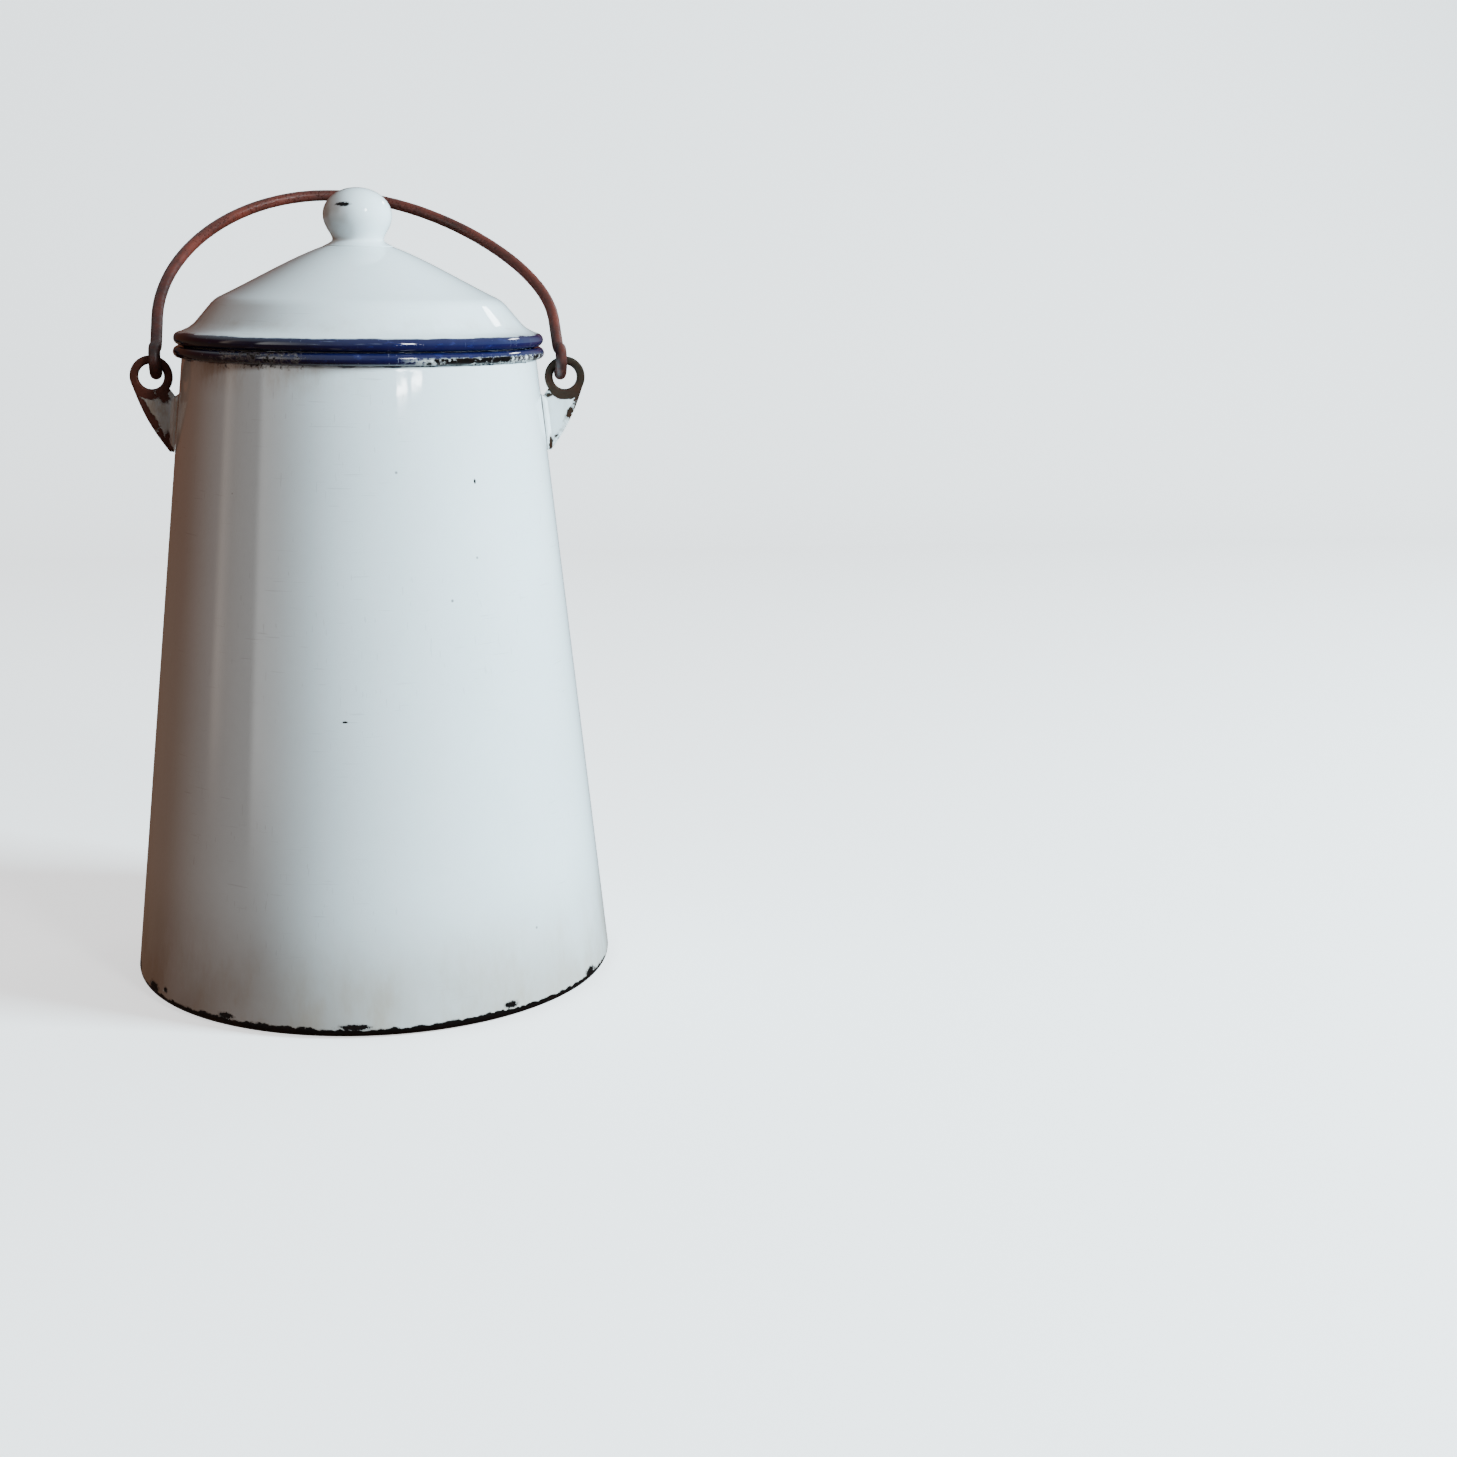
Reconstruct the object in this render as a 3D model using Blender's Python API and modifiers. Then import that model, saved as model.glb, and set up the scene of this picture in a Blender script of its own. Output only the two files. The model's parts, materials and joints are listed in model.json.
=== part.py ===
"""Milk pail: an enamelled steel pail with a loose lid and a swinging wire bail.

The pail stands on the XY plane with its axis on Z. The ears are on the X axis and the
bail leans back towards +Y. Lengths are in metres.
"""
import math

import bmesh
import bpy
from mathutils import Matrix, Vector
from mathutils.geometry import interpolate_bezier

# Pail
RIM_HEIGHT = 0.230          # floor to the top of the rim bead
BASE_RADIUS = 0.0885        # outside of the cone where it would meet the floor
MOUTH_RADIUS = 0.0621       # outside of the cone at the rim's height
SHEET = 0.0010              # steel and its enamel
BEAD_RADIUS = 0.00205       # outside of the rolled rim
FOOT_BEND = 0.0034          # outside radius of the bottom corner
FOOT_RING_WIDTH = 0.0095    # turned-in foot, from the cone to the ring's free edge

# Bottom disc
BOTTOM_RIM_HEIGHT = 0.0150
BOTTOM_RECESS = 0.0042      # height of the disc's underside over the floor
RECESS_LEDGE = 0.0035       # flat left between the foot ring's edge and the recess

# Lid
LID_INSET = 0.00034         # rolled edge inboard of the rim bead's outside
LID_ROLL_RADIUS = 0.0023
LID_ROLL_TURN = 100.0       # degrees that the edge rolls past level
BRIM_RISE = 0.0019          # from the rolled edge's top to the brim's inner end
BRIM_WIDTH = 0.0042
STEP_WIDTH = 0.0081         # steep band between brim and shoulder
STEP_RISE = 0.0094
STEP_FILLET = 0.0012
CONE_RISE = 0.0184          # shoulder to the flank's upper end
CROWN_HANDLE = (0.0120, 0.0044)     # run and fall that leave the seat
SHOULDER_HANDLE = (0.0125, 0.0058)  # run and rise that arrive at the shoulder
SEAT_RADIUS = 0.0124        # shallow pressed seat that carries the knob
COLLAR_DEPTH = 0.0180       # reach of the collar below the rim

# Knob
KNOB_RADIUS = 0.0121
KNOB_NECK_RADIUS = 0.0083
KNOB_HEIGHT = 0.0209        # seat to top
KNOB_NECK_HEIGHT = 0.0038   # seat to the narrowest ring
KNOB_WIDEST_HEIGHT = 0.0114
KNOB_SHEET = 0.0008

# Ears
EAR_REACH = 0.0112          # eyelet centre out from the cone's radius at the rim
EAR_DROP = 0.0110           # eyelet centre below the rim
EAR_LENGTH = 0.0265         # eyelet centre down to the ear's tip
EAR_BULGE = 0.0012          # outer edge bowed outwards
EYELET_RADIUS = 0.0044
EYELET_RING = 0.0030        # width of the metal round the eyelet
LOBE_END = 215.0            # degrees round the lobe where it turns back to the wall
FIN_THICKNESS = 0.0022      # two sheets folded together
FOOT_HALF_WIDTH = 0.0070
FOOT_TIP_HALF_WIDTH = 0.0020

# Bail
WIRE_DIAMETER = 0.0042
EYE_PLAY = 0.00074          # inside of the eye to the corners of the eyelet's ring
EYE_SIDE_PLAY = 0.0006      # wire to the eyelet hole's inboard side
EYE_MOUTH = 40.0            # degrees left open on either side of the leg
EYE_NECK = 0.0067           # from the eye's wire up to the straight leg
NECK_HANDLES = (0.0025, 0.0046)
BAIL_HEIGHT = 0.0980        # hinge to the crown's centreline
BAIL_LEG = 0.0234           # straight leg above the hinge
BAIL_LEAN = math.radians(52.8)
CROWN_SKEW = 0.13           # left shoulder bent fuller than the right one
CROWN_POINT = 0.085         # shoulders drawn in, so that the crown is a little pointed

# Fits
JOINT_GAP = 0.0003          # between pieces that touch
COLLAR_CLEARANCE = 0.0008   # lid collar to the mouth, on the radius
CURL_SLIT = 0.0004          # between a rolled edge's end and the sheet it returns to

# Fineness and colours
FLANK_POINTS = 8
CROWN_STEPS = 44
EYE_STEPS = 18
NECK_STEPS = 6
ROUND_STEPS = 48
SMALL_STEPS = 24
MERGE = 0.00001
WHITE_ENAMEL = (0.80, 0.84, 0.84)
RUSTY_IRON = (0.16, 0.050, 0.032)

TAPER = (MOUTH_RADIUS - BASE_RADIUS) / RIM_HEIGHT
SLANT = math.hypot(1.0, TAPER)
TAPER_ANGLE = math.atan(-TAPER)


def wall_radius(z, offset=0.0):
    """Radius of the cone's outer face at height z, moved out square to the face by offset."""
    return BASE_RADIUS + TAPER * z + offset * SLANT


BEAD_CENTRE_Z = RIM_HEIGHT - BEAD_RADIUS
BEAD_CENTRE_R = wall_radius(BEAD_CENTRE_Z, BEAD_RADIUS - SHEET)
FOOT_INNER_RADIUS = BASE_RADIUS - FOOT_RING_WIDTH
RECESS_RADIUS = FOOT_INNER_RADIUS - RECESS_LEDGE

LID_ROLL_R = BEAD_CENTRE_R + BEAD_RADIUS - LID_INSET - LID_ROLL_RADIUS
LID_ROLL_Z = RIM_HEIGHT + JOINT_GAP + LID_ROLL_RADIUS
BRIM_R = LID_ROLL_R - BRIM_WIDTH
BRIM_Z = LID_ROLL_Z + LID_ROLL_RADIUS + BRIM_RISE
SHOULDER_R = BRIM_R - STEP_WIDTH
SHOULDER_Z = BRIM_Z + STEP_RISE
CROWN_Z = SHOULDER_Z + CONE_RISE
KNOB_SEAT_Z = CROWN_Z - KNOB_SHEET

EYELET_X = MOUTH_RADIUS + EAR_REACH
EYELET_Z = RIM_HEIGHT - EAR_DROP
LOBE_RADIUS = EYELET_RADIUS + EYELET_RING
EAR_TIP_Z = EYELET_Z - EAR_LENGTH
EYE_RADIUS = math.hypot(FIN_THICKNESS, EYELET_RING) / 2 + EYE_PLAY + WIRE_DIAMETER / 2
EYE_INSET = EYELET_RADIUS - WIRE_DIAMETER / 2 - EYE_SIDE_PLAY
EYE_X = EYELET_X - EYE_INSET


def hinge_z():
    """Height of the bail's axis: the middle of the eyelet's ring above the hole, at the eye."""
    hole_top = math.sqrt(EYELET_RADIUS ** 2 - EYE_INSET ** 2)
    lobe_top = math.sqrt(LOBE_RADIUS ** 2 - EYE_INSET ** 2)
    return EYELET_Z + (hole_top + lobe_top) / 2


def arc(centre, radius, start, end, steps):
    """Points of an arc from start to end, in degrees, about a centre (r, z)."""
    points = []
    for i in range(steps + 1):
        angle = math.radians(start + (end - start) * i / steps)
        points.append((centre[0] + radius * math.cos(angle), centre[1] + radius * math.sin(angle)))
    return points


def clear_scene():
    for obj in list(bpy.data.objects):
        bpy.data.objects.remove(obj, do_unlink=True)


def new_collection(name):
    collection = bpy.data.collections.new(name)
    bpy.context.scene.collection.children.link(collection)
    return collection


def finish_material(name, colour, roughness, metallic):
    material = bpy.data.materials.new(name)
    material.use_nodes = True
    shader = material.node_tree.nodes["Principled BSDF"]
    shader.inputs["Base Color"].default_value = (*colour, 1.0)
    shader.inputs["Roughness"].default_value = roughness
    shader.inputs["Metallic"].default_value = metallic
    material.diffuse_color = (*colour, 1.0)
    return material


def add_object(name, data, collection, material=None):
    obj = bpy.data.objects.new(name, data)
    collection.objects.link(obj)
    if material:
        obj.data.materials.append(material)
    return obj


def turned_sheet(name, profile, thickness, steps, collection, material, sweep=360.0):
    """A sheet turned about Z. The profile is its outer face, and the thickness goes inwards."""
    start = -math.radians(sweep) / 2 if sweep < 360.0 else 0.0
    rows = [(r * math.cos(start), r * math.sin(start), z) for r, z in profile]
    mesh = bpy.data.meshes.new(name)
    mesh.from_pydata(rows, [(i, i + 1) for i in range(len(rows) - 1)], [])
    obj = add_object(name, mesh, collection, material)
    screw = obj.modifiers.new("turn", "SCREW")
    screw.angle = math.radians(sweep)
    screw.steps = steps
    screw.render_steps = steps
    screw.use_merge_vertices = True
    screw.merge_threshold = MERGE
    weld = obj.modifiers.new("weld_pole", "WELD")
    weld.merge_threshold = MERGE
    solidify = obj.modifiers.new("sheet", "SOLIDIFY")
    solidify.thickness = thickness
    solidify.offset = -1.0
    solidify.use_even_offset = True
    return obj


def flat_outline(name, outlines, half_thickness, collection, material=None):
    """A plate in the local XY plane from closed outlines; the inner ones are holes."""
    curve = bpy.data.curves.new(name, "CURVE")
    curve.dimensions = "2D"
    curve.fill_mode = "BOTH"
    curve.extrude = half_thickness
    for outline in outlines:
        spline = curve.splines.new("POLY")
        spline.points.add(len(outline) - 1)
        for point, (x, y) in zip(spline.points, outline):
            point.co = (x, y, 0.0, 1.0)
        spline.use_cyclic_u = True
    return add_object(name, curve, collection, material)


def curve_to_mesh(obj, collection):
    """Replace a curve object by a closed mesh of the same name, material and place."""
    name = obj.name
    bpy.context.view_layer.update()
    evaluated = obj.evaluated_get(bpy.context.evaluated_depsgraph_get())
    mesh = bpy.data.meshes.new_from_object(evaluated)
    work = bmesh.new()
    work.from_mesh(mesh)
    bmesh.ops.remove_doubles(work, verts=work.verts, dist=MERGE)
    bmesh.ops.recalc_face_normals(work, faces=work.faces)
    work.to_mesh(mesh)
    work.free()
    matrix = obj.matrix_world.copy()
    bpy.data.objects.remove(obj, do_unlink=True)
    solid = bpy.data.objects.new(name, mesh)
    solid.matrix_world = matrix
    collection.objects.link(solid)
    return solid


def shade_round(obj, sharp_degrees=40.0):
    obj.data.shade_smooth()
    obj.data.set_sharp_from_angle(angle=math.radians(sharp_degrees))


def hide_cutter(obj):
    obj.hide_render = True
    obj.display_type = "WIRE"


def body_wall(collection):
    """Conical side with its rolled rim and turned-in foot."""
    inside = BEAD_RADIUS - SHEET
    centreline = BEAD_RADIUS - SHEET / 2
    curl_end = -math.degrees(math.acos((SHEET + CURL_SLIT) / centreline - 1.0))
    taper = math.degrees(TAPER_ANGLE)
    foot_centre = (wall_radius(FOOT_BEND, -FOOT_BEND), FOOT_BEND)
    profile = arc((BEAD_CENTRE_R, BEAD_CENTRE_Z), inside, curl_end, 180.0 + taper, 10)
    profile += arc(foot_centre, FOOT_BEND, taper, -90.0, 5)
    profile.append((FOOT_INNER_RADIUS, 0.0))
    material = finish_material("wall_enamel", WHITE_ENAMEL, 0.12, 0.0)
    return turned_sheet("body_wall", profile, SHEET, ROUND_STEPS, collection, material)


def body_bottom(collection):
    """Pressed disc, recessed in the middle, with a rim that nests in the wall's foot."""
    inset = SHEET + JOINT_GAP
    corner = FOOT_BEND - inset
    centre = (wall_radius(FOOT_BEND, -FOOT_BEND), FOOT_BEND)
    step = BOTTOM_RECESS - inset
    profile = [(wall_radius(BOTTOM_RIM_HEIGHT, -inset), BOTTOM_RIM_HEIGHT)]
    profile += arc(centre, corner, math.degrees(TAPER_ANGLE), -90.0, 4)
    profile.append((RECESS_RADIUS + step, inset))
    profile.append((RECESS_RADIUS, BOTTOM_RECESS))
    profile.append((0.0, BOTTOM_RECESS))
    material = finish_material("bottom_enamel", WHITE_ENAMEL, 0.18, 0.0)
    return turned_sheet("body_bottom", profile, SHEET, ROUND_STEPS, collection, material)


def lid_crown():
    """Outer face of the lid from its centre over the knob's seat and down the flank."""
    crown = Vector((SEAT_RADIUS, CROWN_Z))
    shoulder = Vector((SHOULDER_R, SHOULDER_Z))
    crown_handle = crown + Vector((CROWN_HANDLE[0], -CROWN_HANDLE[1]))
    shoulder_handle = shoulder + Vector((-SHOULDER_HANDLE[0], SHOULDER_HANDLE[1]))
    flank = interpolate_bezier(crown, crown_handle, shoulder_handle, shoulder, FLANK_POINTS)
    seat = [(0.0, KNOB_SEAT_Z), (SEAT_RADIUS - KNOB_SHEET / 2, KNOB_SEAT_Z)]
    return seat + [(point.x, point.y) for point in flank]


def lid_cover(collection):
    """Pressed lid with a pointed crown, a shoulder, a brim and a rolled edge."""
    profile = lid_crown()
    profile.append((SHOULDER_R + STEP_FILLET, SHOULDER_Z - STEP_FILLET / 2))
    profile.append((BRIM_R - STEP_FILLET, BRIM_Z + STEP_FILLET))
    profile.append((BRIM_R, BRIM_Z))
    profile += arc((LID_ROLL_R, LID_ROLL_Z), LID_ROLL_RADIUS, 90.0, -LID_ROLL_TURN, 8)
    material = finish_material("lid_enamel", WHITE_ENAMEL, 0.12, 0.0)
    return turned_sheet("lid_cover", profile, SHEET, ROUND_STEPS, collection, material)


def lid_collar(collection):
    """Plain ring that hangs in the mouth under the lid and ends just under the sloping brim."""
    radius = wall_radius(BEAD_CENTRE_Z, -SHEET) - COLLAR_CLEARANCE
    slope = BRIM_RISE / BRIM_WIDTH
    brim_top = BRIM_Z - slope * (radius - BRIM_R)
    top = brim_top - SHEET * math.hypot(1.0, slope) - JOINT_GAP
    bottom = RIM_HEIGHT - COLLAR_DEPTH
    profile = [(radius, top), (radius, bottom + 2 * SHEET), (radius - SHEET, bottom)]
    material = finish_material("collar_enamel", WHITE_ENAMEL, 0.18, 0.0)
    return turned_sheet("lid_collar", profile, SHEET, ROUND_STEPS, collection, material)


def lid_knob(collection):
    """Hollow pressed knob, open underneath, that stands in the lid's seat."""
    seat = KNOB_SEAT_Z + JOINT_GAP
    widest = seat + KNOB_WIDEST_HEIGHT
    neck = seat + KNOB_NECK_HEIGHT
    foot_radius = SEAT_RADIUS - KNOB_SHEET
    dome_steps = 6
    waist_steps = 4
    profile = []
    for i in range(dome_steps + 1):
        angle = math.pi / 2 * (1 - i / dome_steps)
        rise = (KNOB_HEIGHT - KNOB_WIDEST_HEIGHT) * math.sin(angle)
        profile.append((KNOB_RADIUS * math.cos(angle), widest + rise))
    closing = math.acos(KNOB_NECK_RADIUS / KNOB_RADIUS)
    for i in range(1, waist_steps + 1):
        angle = closing * i / waist_steps
        fall = (widest - neck) * math.sin(angle) / math.sin(closing)
        profile.append((KNOB_RADIUS * math.cos(angle), widest - fall))
    flare_rise = neck - seat - KNOB_SHEET
    for i in range(1, waist_steps + 1):
        angle = math.pi / 2 * i / waist_steps
        radius = KNOB_NECK_RADIUS + (foot_radius - KNOB_NECK_RADIUS) * (1 - math.cos(angle))
        profile.append((radius, neck - flare_rise * math.sin(angle)))
    material = finish_material("knob_enamel", WHITE_ENAMEL, 0.12, 0.0)
    return turned_sheet("lid_knob", profile, KNOB_SHEET, SMALL_STEPS, collection, material)


def fin_outline():
    """Outline of the ear's fin: eyelet lobe, bowed outer edge and tip on the wall."""
    inner = JOINT_GAP + SHEET / 2
    shelf_z = EYELET_Z - LOBE_RADIUS
    tip = (wall_radius(EAR_TIP_Z, inner), EAR_TIP_Z)
    tip_outer = Vector((wall_radius(EAR_TIP_Z, inner + SHEET), EAR_TIP_Z))
    towards_tip = tip_outer - Vector((EYELET_X, EYELET_Z))
    heading = math.degrees(math.atan2(towards_tip.y, towards_tip.x))
    tangent = heading + math.degrees(math.acos(LOBE_RADIUS / towards_tip.length))
    lobe = arc((EYELET_X, EYELET_Z), LOBE_RADIUS, tangent, LOBE_END, 20)
    edge = Vector(lobe[0]) - tip_outer
    outwards = Vector((edge.y, -edge.x)).normalized() * EAR_BULGE
    bow_steps = 5
    outline = [tip]
    for i in range(bow_steps):
        bowed = tip_outer + edge * (i / bow_steps) + outwards * math.sin(math.pi * i / bow_steps)
        outline.append((bowed.x, bowed.y))
    outline += lobe
    outline.append((wall_radius(shelf_z, inner), shelf_z))
    return outline


def ear_feet(name, material, cutters):
    """The ear's two feet as one shield that follows the cone, and the outline that trims it."""
    top_z = EYELET_Z - LOBE_RADIUS + SHEET
    face = JOINT_GAP + SHEET
    rows = [(wall_radius(z, face), z) for z in (top_z + SHEET, EAR_TIP_Z - SHEET)]
    sweep = 2 * math.degrees(math.atan((FOOT_HALF_WIDTH + 2 * SHEET) / MOUTH_RADIUS))
    feet = turned_sheet(name + "_feet", rows, SHEET, 6, cutters, material, sweep)
    shield = [(-FOOT_TIP_HALF_WIDTH, EAR_TIP_Z), (FOOT_TIP_HALF_WIDTH, EAR_TIP_Z)]
    shield += arc((FOOT_HALF_WIDTH - SHEET, top_z - SHEET), SHEET, 0.0, 90.0, 3)
    shield += arc((SHEET - FOOT_HALF_WIDTH, top_z - SHEET), SHEET, 90.0, 180.0, 3)
    outline = flat_outline(name + "_foot_outline", [shield], EYELET_X, cutters)
    outline.matrix_world = Matrix(((0, 0, 1, EYELET_X), (1, 0, 0, 0), (0, 1, 0, 0), (0, 0, 0, 1)))
    outline = curve_to_mesh(outline, cutters)
    trim = feet.modifiers.new("foot_outline", "BOOLEAN")
    trim.operation = "INTERSECT"
    trim.object = outline
    return feet, outline


def ear(name, side, collection, cutters):
    """Folded sheet ear: a fin with an eyelet on two feet that follow the cone."""
    material = finish_material(name + "_enamel", WHITE_ENAMEL, 0.2, 0.0)
    hole = arc((EYELET_X, EYELET_Z), EYELET_RADIUS, 0.0, 337.5, 15)
    fin = flat_outline(name, [fin_outline(), hole], FIN_THICKNESS / 2, collection, material)
    fin.rotation_euler = (math.radians(90.0), 0.0, 0.0)
    fin = curve_to_mesh(fin, collection)
    fin.data.transform(fin.matrix_world)
    fin.matrix_world = Matrix.Identity(4)
    feet, outline = ear_feet(name, material, cutters)
    join = fin.modifiers.new("feet", "BOOLEAN")
    join.operation = "UNION"
    join.object = feet
    hide_cutter(feet)
    hide_cutter(outline)
    if side < 0:
        turn_round(fin, (feet, outline))
    shade_round(fin)
    return fin


def turn_round(obj, helpers):
    """Move an ear and its cutters to the opposite side of the pail."""
    half_turn = Matrix.Rotation(math.pi, 4, "Z")
    for piece in (obj, *helpers):
        piece.matrix_world = half_turn @ piece.matrix_world


def crown_point(t):
    """Place on the crown, in the bail's own plane, for t from 0 at the right to 1 at the left."""
    angle = math.pi * t
    side = math.cos(angle)
    rise = BAIL_HEIGHT - BAIL_LEG
    shape = 1.0 - CROWN_SKEW * side - CROWN_POINT * side ** 2
    return Vector((EYE_X * side, 0.0, BAIL_LEG + rise * math.sin(angle) * shape))


def eye_points():
    """Right eye, from its free end round the eyelet and up a bent neck to the leg."""
    points = []
    for place in arc((0.0, 0.0), EYE_RADIUS, 90.0 - EYE_MOUTH, EYE_MOUTH - 270.0, EYE_STEPS):
        points.append(Vector((EYE_X, *place)))
    last = points.pop()
    leaving = Vector((0.0, last.z, -last.y)).normalized() * NECK_HANDLES[0]
    leg = Vector((EYE_X, 0.0, EYE_RADIUS + EYE_NECK))
    arriving = Vector((0.0, 0.0, -NECK_HANDLES[1]))
    return points + interpolate_bezier(last, last + leaving, leg + arriving, leg, NECK_STEPS)


def bail(collection):
    """One bent wire: an eye at each end, two straight legs and the crown."""
    right = eye_points()
    crown = [crown_point(i / CROWN_STEPS) for i in range(CROWN_STEPS + 1)]
    left = [Vector((-p.x, p.y, p.z)) for p in reversed(right)]
    route = right + crown + left
    curve = bpy.data.curves.new("bail", "CURVE")
    curve.dimensions = "3D"
    curve.bevel_depth = WIRE_DIAMETER / 2
    curve.bevel_resolution = 2
    curve.use_fill_caps = True
    spline = curve.splines.new("POLY")
    spline.points.add(len(route) - 1)
    for point, place in zip(spline.points, route):
        point.co = (*place, 1.0)
    material = finish_material("bail_iron", RUSTY_IRON, 0.6, 0.6)
    wire = add_object("bail", curve, collection, material)
    wire.location = (0.0, 0.0, hinge_z())
    wire.rotation_euler = (-BAIL_LEAN, 0.0, 0.0)
    wire = curve_to_mesh(wire, collection)
    shade_round(wire, 60.0)
    return wire


def main():
    clear_scene()
    parts = new_collection("milk_pail")
    cutters = new_collection("milk_pail_cutters")
    body_wall(parts)
    body_bottom(parts)
    ear("ear_right", 1, parts, cutters)
    ear("ear_left", -1, parts, cutters)
    bail(parts)
    lid = bpy.data.objects.new("lid", None)
    parts.objects.link(lid)
    lid.location = (0.0, 0.0, RIM_HEIGHT)
    for piece in (lid_cover(parts), lid_collar(parts), lid_knob(parts)):
        piece.parent = lid
        piece.matrix_parent_inverse = Matrix.Translation((0.0, 0.0, -RIM_HEIGHT))


main()
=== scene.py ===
"""Milk pail: the finished look of an old enamelled pail with a lid and a wire bail.

Everything is in metres in the frame's own coordinates: the pail's axis is Z, it stands on
the XY plane, and its ears are on the X axis.
"""

import json
import math

import bmesh
import bpy
from mathutils import Matrix, Quaternion, Vector
from mathutils.geometry import interpolate_bezier


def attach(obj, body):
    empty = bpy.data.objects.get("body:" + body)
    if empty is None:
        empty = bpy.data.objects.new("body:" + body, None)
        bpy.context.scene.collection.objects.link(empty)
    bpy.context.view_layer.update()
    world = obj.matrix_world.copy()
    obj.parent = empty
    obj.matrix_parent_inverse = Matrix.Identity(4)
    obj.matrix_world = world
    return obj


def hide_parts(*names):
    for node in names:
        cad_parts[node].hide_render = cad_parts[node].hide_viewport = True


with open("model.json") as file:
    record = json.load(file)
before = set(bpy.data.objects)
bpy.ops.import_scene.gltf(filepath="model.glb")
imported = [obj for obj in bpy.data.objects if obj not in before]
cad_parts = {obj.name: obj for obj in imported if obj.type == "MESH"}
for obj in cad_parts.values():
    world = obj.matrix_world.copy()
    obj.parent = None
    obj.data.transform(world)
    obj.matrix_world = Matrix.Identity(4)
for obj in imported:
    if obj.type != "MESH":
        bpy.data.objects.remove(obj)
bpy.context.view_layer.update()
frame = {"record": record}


# ------------------------------------------------------------
# Side wall. A cone of sheet steel, rolled out round a wire at the rim and turned in at the
# foot to a flat ring. It is dipped in white enamel, its rim is painted navy, and the rim
# and foot have lost most of their enamel to knocks.

RIM_HEIGHT = 0.230
BASE_RADIUS = 0.08846       # outside of the cone where it would meet the floor
MOUTH_RADIUS = 0.0621
SHEET = 0.0010
BEAD_RADIUS = 0.00205
FOOT_BEND = 0.0034
FOOT_RING_INNER = 0.0790
POINT_SPACING = 0.004       # longest straight stretch of a section
FINE_TURN = 256             # steps round the axis
COARSE_TURN = 192
CURL_END = -115.0           # degrees where the bead's curl closes on the cone

taper = (MOUTH_RADIUS - BASE_RADIUS) / RIM_HEIGHT
slant = math.hypot(1.0, taper)
taper_degrees = -math.degrees(math.atan(taper))


def cone_radius(z, offset=0.0):
    """Radius of the wall's outer face at height z, moved out square to the face."""
    return BASE_RADIUS + taper * z + offset * slant


def arc(centre, radius, start, end, steps):
    """Points (r, z) of an arc from start to end, in degrees."""
    points = []
    for i in range(steps + 1):
        angle = math.radians(start + (end - start) * i / steps)
        points.append((centre[0] + radius * math.cos(angle), centre[1] + radius * math.sin(angle)))
    return points


def sheet_profile(face, thickness, closed=True):
    """A sheet's whole section: its outer face, then its inner face running back."""
    inner = []
    for i, point in enumerate(face):
        before = Vector(face[max(i - 1, 0)])
        after = Vector(face[min(i + 1, len(face) - 1)])
        along = (after - before).normalized()
        inwards = Vector((along.y, -along.x))
        inner.append(tuple(Vector(point) + inwards * thickness))
    if face[0][0] == 0.0:
        inner[0] = (0.0, inner[0][1])
    section = list(face) + inner[::-1]
    if closed:
        section.append(face[0])
    return section


def subdivide(points, longest):
    """The same outline with no stretch longer than given, so that bumps and bends have points."""
    fine = [points[0]]
    for start, end in zip(points, points[1:]):
        pieces = max(1, math.ceil(math.dist(start, end) / longest))
        for i in range(1, pieces + 1):
            fine.append(tuple(Vector(start).lerp(Vector(end), i / pieces)))
    return fine


def add_node(tree, kind, inputs=None, **settings):
    """Add a node, make its settings, and set or link its inputs by name or number."""
    made = tree.nodes.new(kind)
    for key, value in settings.items():
        setattr(made, key, value)
    for key, value in (inputs or {}).items():
        if isinstance(value, bpy.types.NodeSocket):
            tree.links.new(value, made.inputs[key])
        else:
            made.inputs[key].default_value = value
    return made


def link_object(name, data):
    """A new object in the scene that holds the data."""
    obj = bpy.data.objects.new(name, data)
    bpy.context.scene.collection.objects.link(obj)
    return obj


def finished_mesh(carrier):
    """The mesh that a carrier object makes, after which the carrier is removed."""
    evaluated = carrier.evaluated_get(bpy.context.evaluated_depsgraph_get())
    mesh = bpy.data.meshes.new_from_object(evaluated)
    bpy.data.objects.remove(carrier, do_unlink=True)
    return mesh


def maths(tree, operation, first, second=0.0, clamp=False):
    """The result of a maths node. Each side is a number or a socket."""
    inputs = {0: first, 1: second}
    return add_node(tree, "ShaderNodeMath", inputs, operation=operation, use_clamp=clamp).outputs[0]


def times(tree, first, second, clamp=False):
    return maths(tree, "MULTIPLY", first, second, clamp)


def plus(tree, first, second):
    return maths(tree, "ADD", first, second)


def vector_maths(tree, operation, first, second=(0.0, 0.0, 0.0)):
    """The result of a vector maths node, a number for a length or a dot product."""
    made = add_node(tree, "ShaderNodeVectorMath", {0: first, 1: second}, operation=operation)
    return made.outputs["Value" if operation in ("LENGTH", "DOT_PRODUCT") else "Vector"]


def new_tree(name, kind, inputs, outputs):
    """A node tree with its named and typed sockets, plus its input and output nodes."""
    tree = bpy.data.node_groups.new(name, kind)
    for direction, sockets in (("INPUT", inputs), ("OUTPUT", outputs)):
        for label, sort, *value in sockets:
            socket = tree.interface.new_socket(label, in_out=direction, socket_type="NodeSocket" + sort)
            if value:
                socket.default_value = value[0]
    source = tree.nodes.new("NodeGroupInput")
    sink = tree.nodes.new("NodeGroupOutput")
    return tree, source, sink


def finish_geometry(tree, geometry, source, sink):
    """End a geometry tree: smooth faces, real instances and the material."""
    smooth = add_node(tree, "GeometryNodeSetShadeSmooth", {"Geometry": geometry})
    real = add_node(tree, "GeometryNodeRealizeInstances", {"Geometry": smooth.outputs[0]})
    finish = add_node(tree, "GeometryNodeSetMaterial",
                      {"Geometry": real.outputs[0], "Material": source.outputs["Material"]})
    tree.links.new(finish.outputs[0], sink.inputs[0])


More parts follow.
